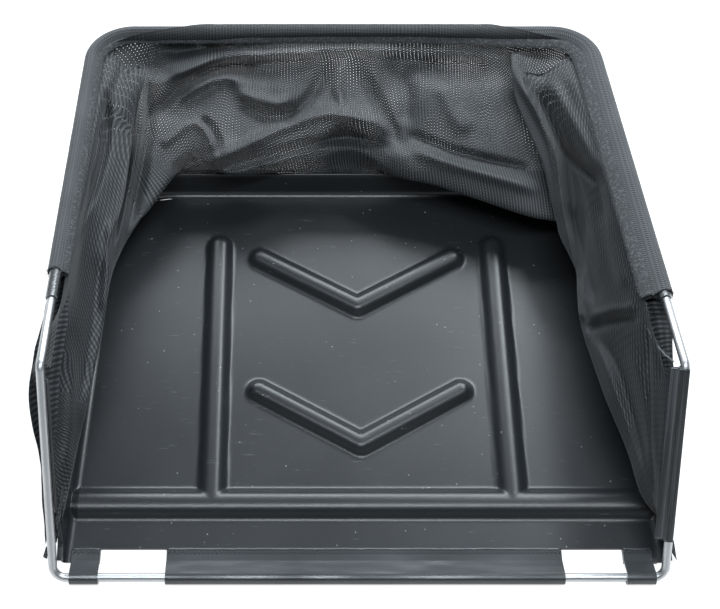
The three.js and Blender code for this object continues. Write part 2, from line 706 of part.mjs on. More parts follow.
function panel(side) {
  const geometry = thicken(panelColumns(side), cloth);
  const body = solid(geometry);
  return body.volume() < 0 ? turned(geometry) : geometry;
}

// The same shell with its faces the other way round
function turned(geometry) {
  const faces = geometry.index.array;
  for (let i = 0; i < faces.length; i += 3) {
    [faces[i], faces[i + 1]] = [faces[i + 1], faces[i]];
  }
  return geometry;
}

const finishes = {
  trayPlastic: { color: 0x2b2e31, roughness: 0.32, metalness: 0 },
  wire: { color: 0xd9dadb, roughness: 0.3, metalness: 1 },
  tube: { color: 0x8f9294, roughness: 0.25, metalness: 1 },
  mesh: { color: 0x26292c, roughness: 0.85, metalness: 0 },
  binding: { color: 0x303336, roughness: 0.9, metalness: 0 },
  vinyl: { color: 0x2a2d30, roughness: 0.42, metalness: 0 },
};

const grassCatcher = new THREE.Group();

function place(name, geometry, finish) {
  const material = new THREE.MeshStandardMaterial(finishes[finish]);
  const mesh = new THREE.Mesh(geometry, material);
  mesh.name = name;
  grassCatcher.add(mesh);
}

place('tray', tray(), 'trayPlastic');
place('lower_rod', lowerRod(), 'wire');
place('upper_tube', upperTube(), 'tube');
place('sleeve', sleeve(), 'binding');
place('front_flap', barFlap(-flapHalfWidth, flapHalfWidth), 'vinyl');
place('left_tab', barFlap(leftTabX - tabWidth / 2, leftTabX + tabWidth / 2), 'vinyl');
place('right_tab', barFlap(rightTabX - tabWidth / 2, rightTabX + tabWidth / 2), 'vinyl');
place('right_clip_strip', clipStrip(1, stripTopInset, stripLength, new THREE.Vector3(), 0), 'vinyl');
place('left_clip_strip', clipStrip(-1, looseStripTopInset, looseStripLength, looseOffset(),
  THREE.MathUtils.degToRad(looseFlatTurn)), 'vinyl');
place('left_panel', panel(bagSides.left), 'mesh');
place('back_panel', panel(bagSides.back), 'mesh');
place('right_panel', panel(bagSides.right), 'mesh');

export default grassCatcher;
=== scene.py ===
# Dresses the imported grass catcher: moulded tray, bright wire and tube, knitted sleeve, slack mesh
# bag with its hems and clip strips, vinyl flap and tabs, and the stitches that hold them. Built in
# millimetres, in the frame of the CAD part, and turned to metres when a mesh is made.
import math

import bpy
import numpy as np
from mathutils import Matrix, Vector, noise

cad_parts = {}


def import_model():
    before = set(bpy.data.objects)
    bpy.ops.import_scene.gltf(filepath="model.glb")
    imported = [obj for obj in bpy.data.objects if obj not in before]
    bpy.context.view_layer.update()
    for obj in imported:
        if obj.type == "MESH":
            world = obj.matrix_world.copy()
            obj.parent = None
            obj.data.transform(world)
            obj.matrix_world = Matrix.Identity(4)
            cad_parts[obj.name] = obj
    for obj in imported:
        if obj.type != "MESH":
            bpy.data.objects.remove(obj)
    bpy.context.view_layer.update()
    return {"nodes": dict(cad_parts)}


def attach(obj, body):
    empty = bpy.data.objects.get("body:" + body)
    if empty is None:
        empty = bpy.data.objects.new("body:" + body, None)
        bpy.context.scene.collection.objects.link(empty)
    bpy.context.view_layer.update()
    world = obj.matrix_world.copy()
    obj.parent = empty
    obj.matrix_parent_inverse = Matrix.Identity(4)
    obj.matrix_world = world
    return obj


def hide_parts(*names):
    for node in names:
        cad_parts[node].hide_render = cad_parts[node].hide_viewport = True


noise.seed_set(7)         # fixes the vector noise of the hems, which is otherwise seeded by the clock
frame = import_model()
BODY = "root"
MM = 0.001

# Camera, from the photograph's perspective: 720 by 609 pixels
PHOTO_WIDTH = 720
FOCAL_PIXELS = 1475.8
CENTRE_PIXEL_X = 293.3
CENTRE_PIXEL_Y = 304.5
CAMERA_PITCH = 57.74                      # degrees below the horizon
CAMERA_PLACE = (-49.67, -561.35, 971.87)
SENSOR = 36.0

# Tray
SHEET = 2
FLOOR_LENGTH = 305
FLOOR_HALF_FRONT = 204.5
FLOOR_HALF_REAR = 190
WALL_HEIGHT = 24
WALL_LEAN = 4
BASE_FILLET = 5
REAR_CORNER = 45
TONGUE_REACH = 10.5
WALL_NOSE = 11
NOSE_HEIGHT = 6
TONGUES = ((-213.0, -185.0), (-138.5, 138.5), (181.5, 213.0))   # each from x to x
FRONT_Y = -FLOOR_LENGTH / 2
REAR_Y = FLOOR_LENGTH / 2
TONGUE_TIP = FRONT_Y - TONGUE_REACH
LEAN = math.atan2(WALL_LEAN, WALL_HEIGHT)
RIM_INNER = ((0, -0.5), (0.3, -0.08), (0.8, 0))   # rounding of the rim, out and up from each face
RIM_OUTER = ((-0.7, 0), (-0.1, -0.4))
OUTLINE_STEPS = 24                         # steps round a rear corner, for the bag and for the wall
WALL_STEPS = 40
NOSE_STEPS = 160
GAP_POINTS = 20

# Beads of the tray
BEAD_RISE = 7
LONG_BEAD_WIDTH = 21
CROSS_BEAD_WIDTH = 23.5
CHEVRON_WIDTH = 19
LONG_BEAD_SPACING = 216
CROSS_BEAD_SETBACK = 34.5
LONG_BEAD_END = 257
CHEVRON_HALF_SPAN = 75.5
CHEVRON_ANGLE = 30.5
CHEVRON_SETBACKS = (82, 201)
BEAD_ROUNDNESS = 0.6
LEDGE_WIDTH = 1.5                          # low step round the foot of every bead
LEDGE_RISE = 0.4
CREST_EXTRA = 0.3                          # how much thicker the sheet is at the crest of a bead
GRID_STEP = 1.5                            # spacing of the points on the floor and its beads

# Frame
ROD_RADIUS = 3
FRONT_CORNER = 8.8
LEG_BEND = 6
PLUG_LENGTH = 25
TUBE_BORE = 3.3
FRAME_HALF = 212
FRAME_SHIFT = -4
BAR_REACH = 22.5
BEND_SETBACK = 74
BEND_HEIGHT = 131
JOINT_SETBACK = 131
TOP_SETBACK = 403
TOP_HEIGHT = 91
TOP_HALF = 196
TOP_LEAN = -6.8
TOP_CORNER = 32
TUBE_RADIUS = 4.2
ROD_END = 0.6                              # rounded end of the wire: its length and its depth
ROD_END_DEPTH = 0.5
MOUTH_DEPTH = 12                           # how far the open mouths of the tube are modelled
MOUTH_ROUNDING = 0.25
MOUTH_LIP = 0.01
ROD_CORNER_STEPS = 14
TUBE_CORNER_STEPS = 16
BAR_SIDES = 32
BAR_Y = FRONT_Y - BAR_REACH
VINYL = 1.4
LOOP_GAP = 0.5
BAR_Z = VINYL + LOOP_GAP + ROD_RADIUS

# Flap and tabs: where the middle of each is, and half its width
VINYL_PIECES = ((0, 138.5), (-195, 10), (191.5, 10))
VINYL_TOP = SHEET + 0.3 + VINYL
STITCH_ROW = 552.5                         # row of the photograph
STITCH_INSET = 1
STITCH_PITCH = 3.1
STITCH_SWING = 1.15
STITCH_LIFT = 0.16
STITCH_RADIUS = 0.3
FOLD_ROW = 549                             # row of the photograph
FOLD_RADIUS = 1.0
FOLD_SINK = 0.35
FOLD_SWAY = 0.25

# Sleeve: its section is a round over the tube, then a flat tail in to the sewn edge
SLEEVE_BORE = TUBE_RADIUS + 0.3
SLEEVE_RADIUS = SLEEVE_BORE + 1.3
SLEEVE_ROUND = (-125, 100)                 # degrees from the outer side
SLEEVE_DROP = 0.45                         # how low the tail lies, as a share of the radius
SLEEVE_EDGE = 0.9
SLEEVE_UNDER = ((1, -0.3), (0.8, -1.0), (0.6, -1.2))   # underside: share of the tail, height
TAIL_LEFT = 8.5
TAIL_RIGHT = 16
TAIL_FROM = 0.6                            # share of the width from which the tail grows wider
START_LEFT = 23                            # how far behind the joint the sleeve starts
START_RIGHT = 3
GROOVE_PLACE = 0.45                        # stitched groove, as a share of the tail
GROOVE_WIDTH = 0.1
GROOVE_DEPTH = 1.7
SLEEVE_STEP = 1.8
SLEEVE_WAVE = 0.012
RAGGED_ENDS = (1.6, 1.0, 0.4)
CLOSED_OVER = 3                            # the ends are closed this far in, down to the tube
FIBRE_STEP = 1.1
FIBRE_RADIUS = 0.11
FIBRES_AT_END = 14
FIBRES_AT_SEAM = 3
END_POINTS = 3

# Clip strips
STRIP_BORE = ROD_RADIUS + 0.3
STRIP_FLAT = 6.5
STRIP_WALL = 0.9
STRIP_LIP = 118                            # degrees over the leg at which the strip ends, and under it
STRIP_LOWER_LIP = -105
STRIP_ROOT = 14                            # degrees at which its flat flange starts
STRIP_RIDGE = 0.5
STRIP_RIDGES = 11
STRIP_SEWN = STRIP_BORE + STRIP_FLAT - 2
STRIP_INSET = 3.8
STRIP_TOP = 0.6
STRIP_LENGTH = 125
STRIP_SWAY = 0.35
LOOSE_OUT = -1.0                           # the left strip has come off its leg
LOOSE_DROP = 9
LOOSE_INSET = 14
LOOSE_LENGTH = 98

# Lower margin of the bag, outside the tray's wall
MARGIN_DEPTH = 11
MARGIN_GAP = 0.9


# Curves and surfaces

def lerp(a, b, t):
    return a + (b - a) * t


def unit(v):
    return v / np.maximum(np.linalg.norm(v, axis=-1, keepdims=True), 1e-9)


def lengths_along(line):
    """Distance from the start of a polyline to each of its points."""
    steps = np.linalg.norm(np.diff(line, axis=0), axis=1)
    return np.concatenate([[0.0], np.cumsum(steps)])


def points_at(line, shares):
    """Points on a polyline at shares of its length."""
    along = lengths_along(line)
    places = np.asarray(shares) * along[-1]
    return np.stack([np.interp(places, along, line[:, k]) for k in range(line.shape[1])], axis=-1)


def smooth_at(values, shares):
    """Catmull-Rom curve through evenly spaced values, at shares of their row."""
    values = np.asarray(values, float)
    place = np.clip(shares, 0, 1) * (len(values) - 1)
    i = np.minimum(place.astype(int), len(values) - 2)
    t = (place - i).reshape((-1,) + (1,) * (values.ndim - 1))
    a, b, c, d = (values[np.clip(i + k, 0, len(values) - 1)] for k in (-1, 0, 1, 2))
    return b + t * ((c - a) / 2 + t * (a - 2.5 * b + 2 * c - d / 2 + t * (1.5 * (b - c) + (d - a) / 2)))


def hermite(knots, values, places):
    """Smooth curve through values at uneven knots."""
    values = np.asarray(values, float)
    slopes = np.gradient(values, knots, axis=0)
    i = np.clip(np.searchsorted(knots, places, side="right") - 1, 0, len(knots) - 2)
    shape = (-1,) + (1,) * (values.ndim - 1)
    width = (knots[i + 1] - knots[i]).reshape(shape)
    t = (places - knots[i]).reshape(shape) / width
    return ((1 + 2 * t) * (1 - t) ** 2 * values[i] + t * (1 - t) ** 2 * width * slopes[i]
            + t * t * (3 - 2 * t) * values[i + 1] + t * t * (t - 1) * width * slopes[i + 1])


def curve_through(points, count):
    """Smooth curve through control points, as count points evenly spaced along it."""
    gaps = np.sqrt(np.linalg.norm(np.diff(points, axis=0), axis=1)) + 1e-6
    knots = np.concatenate([[0.0], np.cumsum(gaps)])
    curve = hermite(knots, points, np.linspace(0, knots[-1], 8 * count))
    return points_at(curve, np.linspace(0, 1, count))


def rounded_path(corners, radii, steps):
    """Polyline whose inner corners are rounded, each to its own radius."""
    path = [corners[0]]
    for before, corner, after, radius in zip(corners, corners[1:], corners[2:], radii):
        back, ahead = unit(before - corner), unit(after - corner)
        half = math.acos(np.clip(back @ ahead, -1, 1)) / 2
        centre = corner + unit(back + ahead) * radius / math.sin(half)
        start = corner + back * radius / math.tan(half) - centre
        end = corner + ahead * radius / math.tan(half) - centre
        turn = math.acos(np.clip(start @ end / radius ** 2, -1, 1))
        for k in range(steps + 1):
            t = k / steps
            place = (start * math.sin((1 - t) * turn) + end * math.sin(t * turn)) / math.sin(turn)
            path.append(centre + place)
    path.append(corners[-1])
    return np.array(path)


# Places of the photograph

def photo_point(column, row, height):
    """The place at a height over the ground that the photograph shows at a column and row."""
    pitch = math.radians(CAMERA_PITCH)
    right = (column - CENTRE_PIXEL_X) / FOCAL_PIXELS
    up = (CENTRE_PIXEL_Y - row) / FOCAL_PIXELS
    ray = np.array((right, math.cos(pitch) + up * math.sin(pitch), -math.sin(pitch) + up * math.cos(pitch)))
    eye = np.array(CAMERA_PLACE)
    return eye + ray * (height - eye[2]) / ray[2]


def photo_place(points):
    """Columns and rows of the photograph at which points of the object lie."""
    pitch = math.radians(CAMERA_PITCH)
    offset = np.asarray(points) - np.array(CAMERA_PLACE)
    depth = offset[..., 1] * math.cos(pitch) - offset[..., 2] * math.sin(pitch)
    up = offset[..., 1] * math.sin(pitch) + offset[..., 2] * math.cos(pitch)
    return np.stack([CENTRE_PIXEL_X + FOCAL_PIXELS * offset[..., 0] / depth,
                     CENTRE_PIXEL_Y - FOCAL_PIXELS * up / depth], axis=-1)


# The tray's rim and the frame, as the CAD part has them

def floor_half(y):
    return lerp(FLOOR_HALF_FRONT, FLOOR_HALF_REAR, (y - FRONT_Y) / FLOOR_LENGTH)


def wall_outside(z):
    """How far the outside of the wall stands from the floor's edge at a height."""
    return (BASE_FILLET + SHEET) / math.cos(LEAN) + (z - SHEET - BASE_FILLET) * math.tan(LEAN)


def tray_outline(out, z, corner_steps=OUTLINE_STEPS):
    """Plan outline of the tray moved out by a distance, from the front right round the rear."""
    arc_y = REAR_Y - REAR_CORNER
    arc_x = floor_half(arc_y) - REAR_CORNER
    start = FRONT_Y + WALL_NOSE
    half = [(floor_half(start) + out, start, z)]
    reach = REAR_CORNER + out
    for k in range(corner_steps + 1):
        turn = k / corner_steps * math.pi / 2
        half.append((arc_x + reach * math.cos(turn), arc_y + reach * math.sin(turn), z))
    return np.array(half + [(-x, y, z) for x, y, _ in reversed(half)])


def rim_part(side, out, z):
    """The rim along one side of the bag."""
    outline = tray_outline(out, z)
    middle = 1 + OUTLINE_STEPS // 2
    if side == "right":
        return outline[:middle + 1]
    if side == "left":
        return outline[::-1][:middle + 1]
    return outline[middle:-middle][::-1]


def frame_corner(side, name):
    x = FRAME_SHIFT + side * FRAME_HALF
    places = {
        "front": (x, BAR_Y, BAR_Z),
        "bend": (x, FRONT_Y + BEND_SETBACK, BEND_HEIGHT),
        "top": (FRAME_SHIFT + TOP_LEAN + side * TOP_HALF, FRONT_Y + TOP_SETBACK, TOP_HEIGHT),
    }
    return np.array(places[name], float)


def upper_leg(side, setback):
    share = (setback - BEND_SETBACK) / (TOP_SETBACK - BEND_SETBACK)
    return lerp(frame_corner(side, "bend"), frame_corner(side, "top"), share)


def tube_path(left_setback, right_setback):
    corners = [upper_leg(-1, left_setback), frame_corner(-1, "top"), frame_corner(1, "top"),
               upper_leg(1, right_setback)]
    return rounded_path(corners, (TOP_CORNER, TOP_CORNER), TUBE_CORNER_STEPS)


def leg_frame(side):
    """Top of a front leg, the way down it, and the way square to it, up and to the rear."""
    bend, front = frame_corner(side, "bend"), frame_corner(side, "front")
    down = unit(front - bend)
    return bend, down, np.array((0.0, down[2], -down[1]))


def top_part(side):
    """The line that the bag hangs from along one side."""
    tube = tube_path(JOINT_SETBACK, JOINT_SETBACK)
    middle = TUBE_CORNER_STEPS // 2 + 1
    if side == "back":
        return tube[middle:-middle]
    sign = -1 if side == "left" else 1
    bend, front = frame_corner(sign, "bend"), frame_corner(sign, "front")
    low = lerp(bend, front, (STRIP_INSET + STRIP_LENGTH) / np.linalg.norm(bend - front))
    corner = tube[1:middle + 1] if sign < 0 else tube[-middle - 1:-1][::-1]
    return np.array([low, bend, *corner])


def sleeve_tail(x):
    """Width of the sleeve's flat part at a place across the frame."""
    share = np.clip(0.5 + x / (2 * TOP_HALF), 0, 1)
    t = np.clip((share - TAIL_FROM) / (1 - TAIL_FROM), 0, 1)
    return lerp(TAIL_LEFT, TAIL_RIGHT, t * t * (3 - 2 * t))


# Meshes

def mesh_object(name, points, faces, uvs=None, smooth=True):
    """Mesh from points in millimetres; uvs hold one pair for each point."""
    mesh = bpy.data.meshes.new(name)
    mesh.from_pydata([tuple(float(c) * MM for c in p) for p in points], [], faces)
    if uvs is not None:
        layer = mesh.uv_layers.new(name="UVMap")
        corners = np.empty(len(mesh.loops), dtype=np.int32)
        mesh.loops.foreach_get("vertex_index", corners)
        layer.data.foreach_set("uv", np.asarray(uvs, np.float32)[corners].ravel())
    if smooth:
        mesh.polygons.foreach_set("use_smooth", [True] * len(mesh.polygons))
    mesh.update()
    piece = bpy.data.objects.new(name, mesh)
    bpy.context.scene.collection.objects.link(piece)
    return piece


def grid_faces(rows, columns, closed=False):
    """Quads of a grid whose points are stored row by row; closed joins the last column to the first."""
    faces = []
    for r in range(rows - 1):
        for c in range(columns if closed else columns - 1):
            d = (c + 1) % columns
            faces.append((r * columns + c, r * columns + d, (r + 1) * columns + d, (r + 1) * columns + c))
    return faces


def uv_grid(u, v):
    """Texture places of a grid from the distances along its rows and its columns."""
    return np.stack(np.broadcast_arrays(u[:, None], v[None, :]), axis=-1).reshape(-1, 2) * MM


def capped_faces(rows, columns):
    """Faces of a row of closed rings, with a cap at each end."""
    first, last = range(columns), range((rows - 1) * columns, rows * columns)
    return [*grid_faces(rows, columns, closed=True), tuple(first)[::-1], tuple(last)]


def finish_piece(piece, material, replaced=()):
    piece.data.materials.append(material)
    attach(piece, BODY)
    if replaced:
        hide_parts(*replaced)
    return piece


# Materials

RIB_PITCH = 2.3           # millimetres between the ribs of the mesh, and between its wefts
WEFT_PITCH = 2.1
BACK_SPREAD = 1.15        # how much wider both are laid on the back, and on the slanting sides
SIDE_SPREAD = 1.7
CREST_SHADE_TO = 28           # painted shade: the back is darkened from its top, where it rolls over the tube, down to here, for the shade on its crest
CREST_SHADE_FADE = 12
CREST_SHADE_TONE = 0.6
# painted shade: the side panels' mesh is given a darker colour than the back's, by this factor
SIDE_SHADE = 0.86
SHEER_FROM = 130          # how far back the mesh starts to be seen through
SHEER_OVER = 60
BACK_SHEER = 0.3
SIDE_SHEER = 0.04
KNIT_BAND = 28.5          # how far round the sleeve its rougher inner band starts
KNIT_COLUMN = 2.2
KNIT_PITCH = 1.9


class Nodes:
    """Short way to build the nodes of a material or of the world."""

    def __init__(self, tree):
        self.tree = tree
        self.tree.nodes.clear()

    def add(self, kind, inputs=None, **settings):
        node = self.tree.nodes.new(kind)
        for key, value in settings.items():
            setattr(node, key, value)
        for key, value in (inputs or {}).items():
            node.inputs[key].default_value = value
        return node

    def join(self, socket, entry):
        self.tree.links.new(socket, entry)

    def math(self, operation, *values):
        """Math node on sockets or numbers; gives its output socket."""
        node = self.add("ShaderNodeMath", operation=operation)
        for entry, value in zip(node.inputs, values):
            if isinstance(value, (int, float)):
                entry.default_value = value
            else:
                self.join(value, entry)
        return node.outputs[0]

    def times(self, a, b):
        return self.math("MULTIPLY", a, b)

    def between(self, value):
        """The value, held between nought and one."""
        return self.math("MINIMUM", self.math("MAXIMUM", value, 0.0), 1.0)

    def ramp(self, value, stops):
        """Grey ramp over a socket; stops are (place, grey)."""
        node = self.add("ShaderNodeValToRGB")
        elements = node.color_ramp.elements
        while len(elements) < len(stops):
            elements.new(0.5)
        for element, (place, grey) in zip(elements, stops):
            element.position = place
            element.color = (grey, grey, grey, 1)
        self.join(value, node.inputs[0])
        return node.outputs[0]

    def noise(self, vector, scale, detail=3, roughness=0.5):
        settings = {"Scale": scale, "Detail": detail, "Roughness": roughness}
        node = self.add("ShaderNodeTexNoise", settings)
        self.join(vector, node.inputs["Vector"])
        return node.outputs["Fac"]

    def place(self):
        return self.add("ShaderNodeTexCoord").outputs["Object"]

    def uv(self):
        return self.parts(self.add("ShaderNodeUVMap", uv_map="UVMap").outputs[0])[:2]

    def parts(self, vector):
        """The three parts of a vector."""
        node = self.add("ShaderNodeSeparateXYZ")
        self.join(vector, node.inputs[0])
        return node.outputs[0], node.outputs[1], node.outputs[2]

    def scaled(self, vector, scale):
        node = self.add("ShaderNodeMapping", {"Scale": scale})
        self.join(vector, node.inputs["Vector"])
        return node.outputs[0]

    def mix(self, factor, a, b):
        """Colour between a and b by a socket."""
        node = self.add("ShaderNodeMix", data_type="RGBA")
        self.join(factor, node.inputs[0])
        for entry, colour in ((node.inputs[6], a), (node.inputs[7], b)):
            if isinstance(colour, tuple):
                entry.default_value = (*colour, 1)
            else:
                self.join(colour, entry)
        return node.outputs[2]


class Finish(Nodes):
    """A material with one principled shader."""

    def __init__(self, name):
        self.material = bpy.data.materials.new(name)
        self.material.use_nodes = True
        super().__init__(self.material.node_tree)
        self.shader = self.add("ShaderNodeBsdfPrincipled")
        self.output = self.add("ShaderNodeOutputMaterial")
        self.join(self.shader.outputs["BSDF"], self.output.inputs["Surface"])

    def bump(self, height, strength, distance):
        node = self.add("ShaderNodeBump", {"Strength": strength, "Distance": distance * MM})
        self.join(height, node.inputs["Height"])
        self.join(node.outputs[0], self.shader.inputs["Normal"])

    def drive(self, entry, source):
        self.join(source, self.shader.inputs[entry])

    def set(self, **values):
        for key, value in values.items():
            self.shader.inputs[key.replace("_", " ")].default_value = value


def tray_plastic():
    """Satin black moulding with fine grain, dust specks and faint scratches."""
    n = Finish("tray_plastic")
    place = n.place()
    cloud = n.noise(place, 9, 4)
    grain = n.noise(place, 1300, 3, 0.7)
    dust = n.add("ShaderNodeTexVoronoi", {"Scale": 130, "Randomness": 1.0})
    n.join(place, dust.inputs["Vector"])
    rare = n.math("GREATER_THAN", n.noise(place, 60, 1), 0.5)
    speck = n.times(n.ramp(dust.outputs["Distance"], [(0.04, 1), (0.07, 0)]), rare)
    streak = n.noise(n.scaled(place, (70, 600, 300)), 1, 2)
    scratch = n.ramp(streak, [(0.70, 0), (0.76, 1)])
    marks = n.math("MAXIMUM", n.times(speck, 0.9), n.times(scratch, 0.12))
    base = n.mix(cloud, (0.014, 0.0155, 0.0175), (0.022, 0.0243, 0.027))
    n.drive("Base Color", n.mix(marks, base, (0.42, 0.43, 0.44)))
    n.drive("Roughness", n.ramp(cloud, [(0.1, 0.28), (0.9, 0.38)]))
    n.set(Specular_IOR_Level=0.6)
    n.bump(n.math("MULTIPLY_ADD", grain, 0.4, cloud), 0.35, 0.6)
    return n.material


def drawn_metal(name, lines, patches, dark, light, roughness):
    """Bare metal with fine drawing lines and duller patches."""
    n = Finish(name)
    place = n.place()
    drawn = n.noise(place, lines, 3)
    n.drive("Base Color", n.mix(n.noise(place, patches, 3), dark, light))
    n.drive("Roughness", n.ramp(drawn, [(0.3, roughness[0]), (0.7, roughness[1])]))
    n.set(Metallic=1.0)
    n.bump(drawn, 0.2, 0.1)
    return n.material


def wave(n, coordinate, pitch):
    """Smooth wave of 0 to 1 along one coordinate in metres, with a pitch in millimetres."""
    turns = n.times(coordinate, 2 * math.pi / (pitch * MM))
    return n.math("MULTIPLY_ADD", n.math("SINE", turns), 0.5, 0.5)


def mesh_fabric(name, sheerness, spread, crest_shade, level):
    """Fine ribbed mesh: lit ribs over dark gaps, a little open where it is stretched at the back."""
    n = Finish(name)
    u, v = n.uv()
    place = n.place()
    sway = n.times(n.noise(place, 55, 3), 0.0011)
    rib = wave(n, n.math("ADD", u, sway), RIB_PITCH * spread)
    weft = wave(n, n.math("ADD", v, sway), WEFT_PITCH * spread)
    threads = n.math("MULTIPLY_ADD", weft, 0.3, n.times(rib, 0.7))
    fuzz = n.noise(place, 900, 3)
    tone = n.noise(place, 16, 3)
    lit = n.times(n.math("POWER", threads, 2.0), n.math("MULTIPLY_ADD", tone, 0.7, 0.55))
    # painted shade on the crest of the back: the colour of its top band is darkened, fading out below it
    upper = n.math("SUBTRACT", (CREST_SHADE_TO + CREST_SHADE_FADE) * MM, v)
    upper = n.between(n.times(upper, 1 / (CREST_SHADE_FADE * MM)))
    # painted shade: a level below one darkens the whole colour of a copy of the mesh, as for the side panels
    lit = n.times(lit, n.math("MULTIPLY_ADD", upper, -crest_shade * level, level))
    n.drive("Base Color", n.mix(lit, (0.006, 0.0068, 0.008), (0.115, 0.121, 0.128)))
    n.set(Roughness=0.62, Sheen_Weight=0.12, Sheen_Roughness=0.4, Specular_IOR_Level=0.4)
    n.bump(n.math("MULTIPLY_ADD", fuzz, 0.35, threads), 0.6, 0.3)
    rear = n.math("SUBTRACT", n.parts(place)[1], SHEER_FROM * MM)
    stretched = n.math("MAXIMUM", n.math("SUBTRACT", tone, 0.38), 0.0)
    sheer = n.times(n.between(n.times(rear, 1 / (SHEER_OVER * MM))), stretched)
    hole = n.math("LESS_THAN", threads, n.times(sheer, sheerness))
    clear = n.add("ShaderNodeBsdfTransparent")
    blend = n.add("ShaderNodeMixShader")
    n.join(hole, blend.inputs[0])
    n.join(n.shader.outputs["BSDF"], blend.inputs[1])
    n.join(clear.outputs["BSDF"], blend.inputs[2])
    n.join(blend.outputs["Shader"], n.output.inputs["Surface"])
    return n.material


def knit_binding():
    """Knitted tape with a fine herringbone, and a rougher, flecked band where it is sewn."""
    n = Finish("knit_binding")
    u, v = n.uv()
    place = n.place()
    bend = n.math("PINGPONG", v, KNIT_COLUMN * MM)
    rib = wave(n, n.math("MULTIPLY_ADD", bend, 0.9, u), KNIT_PITCH)
    knit = n.math("MULTIPLY_ADD", wave(n, v, KNIT_COLUMN), 0.25, n.times(rib, 0.75))
    fuzz = n.noise(place, 900, 3)
    tone = n.noise(place, 35, 3)
    inner = n.math("GREATER_THAN", v, KNIT_BAND * MM)
    fleck = n.math("GREATER_THAN", n.noise(place, 520, 2, 0.8), 0.56)
    mottled = n.math("MULTIPLY_ADD", fleck, 0.4, 0.2)
    even = n.times(knit, n.math("SUBTRACT", 1.0, inner))
    knit = n.math("MULTIPLY_ADD", mottled, inner, even)
    lit = n.times(knit, n.math("MULTIPLY_ADD", tone, 0.6, 0.6))
    n.drive("Base Color", n.mix(lit, (0.014, 0.0155, 0.0175), (0.16, 0.167, 0.176)))
    n.set(Roughness=0.8, Sheen_Weight=0.15, Specular_IOR_Level=0.3)
    n.bump(n.math("MULTIPLY_ADD", fuzz, 0.5, knit), 0.7, 0.4)
    return n.material


def soft_vinyl():
    """Dented, half glossy vinyl of the flap and the tabs."""
    n = Finish("soft_vinyl")
    place = n.place()
    dents = n.noise(n.scaled(place, (0.6, 1.6, 1.6)), 24, 2)
    grain = n.noise(place, 1800, 2)
    cloud = n.noise(place, 12, 3)
    n.drive("Base Color", n.mix(cloud, (0.035, 0.0378, 0.0413), (0.085, 0.0901, 0.09605)))
    n.drive("Roughness", n.ramp(cloud, [(0.1, 0.18), (0.9, 0.30)]))
    n.set(Specular_IOR_Level=0.6)
    n.bump(n.math("ADD", dents, n.times(grain, 0.03)), 0.6, 2.6)
    return n.material


def ridged_vinyl():
    """Glossy vinyl of the clip strips, with fine light and dark streaks along it: in its colour they are
    painted highlights of the strip's ridges, and they also make its bump.
    """
    n = Finish("ridged_vinyl")
    place = n.place()
    streak = n.noise(n.scaled(place, (520, 9, 9)), 1, 3)
    grain = n.noise(place, 1800, 2)
    # painted highlight: the light streaks in the colour stand in for the highlights on the ridges
    lit = n.ramp(streak, [(0.42, 0), (0.66, 1)])
    n.drive("Base Color", n.mix(lit, (0.008, 0.009, 0.0105), (0.075, 0.081, 0.089)))
    n.set(Roughness=0.24, Specular_IOR_Level=0.6)
    n.bump(n.math("MULTIPLY_ADD", grain, 0.05, streak), 0.5, 0.5)
    return n.material


def thread(name, dark, light):
    """Twisted thread between two tones."""
    n = Finish(name)
    twist = n.noise(n.place(), 2500, 2)
    dark, light = (dark, dark * 1.06, dark * 1.12), (light, light * 1.03, light * 1.06)
    n.drive("Base Color", n.mix(twist, dark, light))
    n.set(Roughness=0.55)
    n.bump(twist, 0.5, 0.1)
    return n.material


# Tray

def bead_lines():
    """Centre lines of the beads: two plan points and a width each."""
    cross_y = FRONT_Y + CROSS_BEAD_SETBACK
    reach = floor_half(cross_y) + BASE_FILLET
    lines = [((-reach, cross_y), (reach, cross_y), CROSS_BEAD_WIDTH)]
    rise = CHEVRON_HALF_SPAN * math.tan(math.radians(CHEVRON_ANGLE))
    for side in (-1, 1):
        x = side * LONG_BEAD_SPACING / 2
        lines.append(((x, cross_y), (x, FRONT_Y + LONG_BEAD_END), LONG_BEAD_WIDTH))
        for setback in CHEVRON_SETBACKS:
            apex = FRONT_Y + setback
            lines.append(((0, apex), (side * CHEVRON_HALF_SPAN, apex + rise), CHEVRON_WIDTH))
    return lines


def bead_height(x, y):
    """Height of the beads over the floor, with the low step round their feet."""
    height = np.zeros(np.shape(x))
    for (x0, y0), (x1, y1), width in bead_lines():
        along = np.array((x1 - x0, y1 - y0))
        share = np.clip(((x - x0) * along[0] + (y - y0) * along[1]) / (along @ along), 0, 1)
        across = np.hypot(x - x0 - share * along[0], y - y0 - share * along[1]) / (width / 2)
        radius = (BEAD_RISE ** 2 + (width / 2) ** 2) / (2 * BEAD_RISE)
        round_dome = np.sqrt(radius ** 2 - (np.minimum(across, 1) * width / 2) ** 2) - (radius - BEAD_RISE)
        flat_dome = BEAD_RISE * (0.5 + 0.5 * np.cos(math.pi * np.minimum(across, 1) ** 2))
        dome = lerp(flat_dome, round_dome, BEAD_ROUNDNESS)
        edge = np.clip((1 + 2 * LEDGE_WIDTH / width - across) * width / 2 / (LEDGE_WIDTH / 2), 0, 1)
        height = np.maximum(height, np.maximum(dome, LEDGE_RISE * edge * edge * (3 - 2 * edge)))
    return height


def floor_reach(y):
    """Half width of the flat floor at a distance along it, round the rear corners too."""
    arc_y = REAR_Y - REAR_CORNER
    arc_x = floor_half(arc_y) - REAR_CORNER
    turn = np.sqrt(np.maximum(REAR_CORNER ** 2 - np.maximum(y - arc_y, 0) ** 2, 0))
    return np.where(y < arc_y, floor_half(y), arc_x + turn)


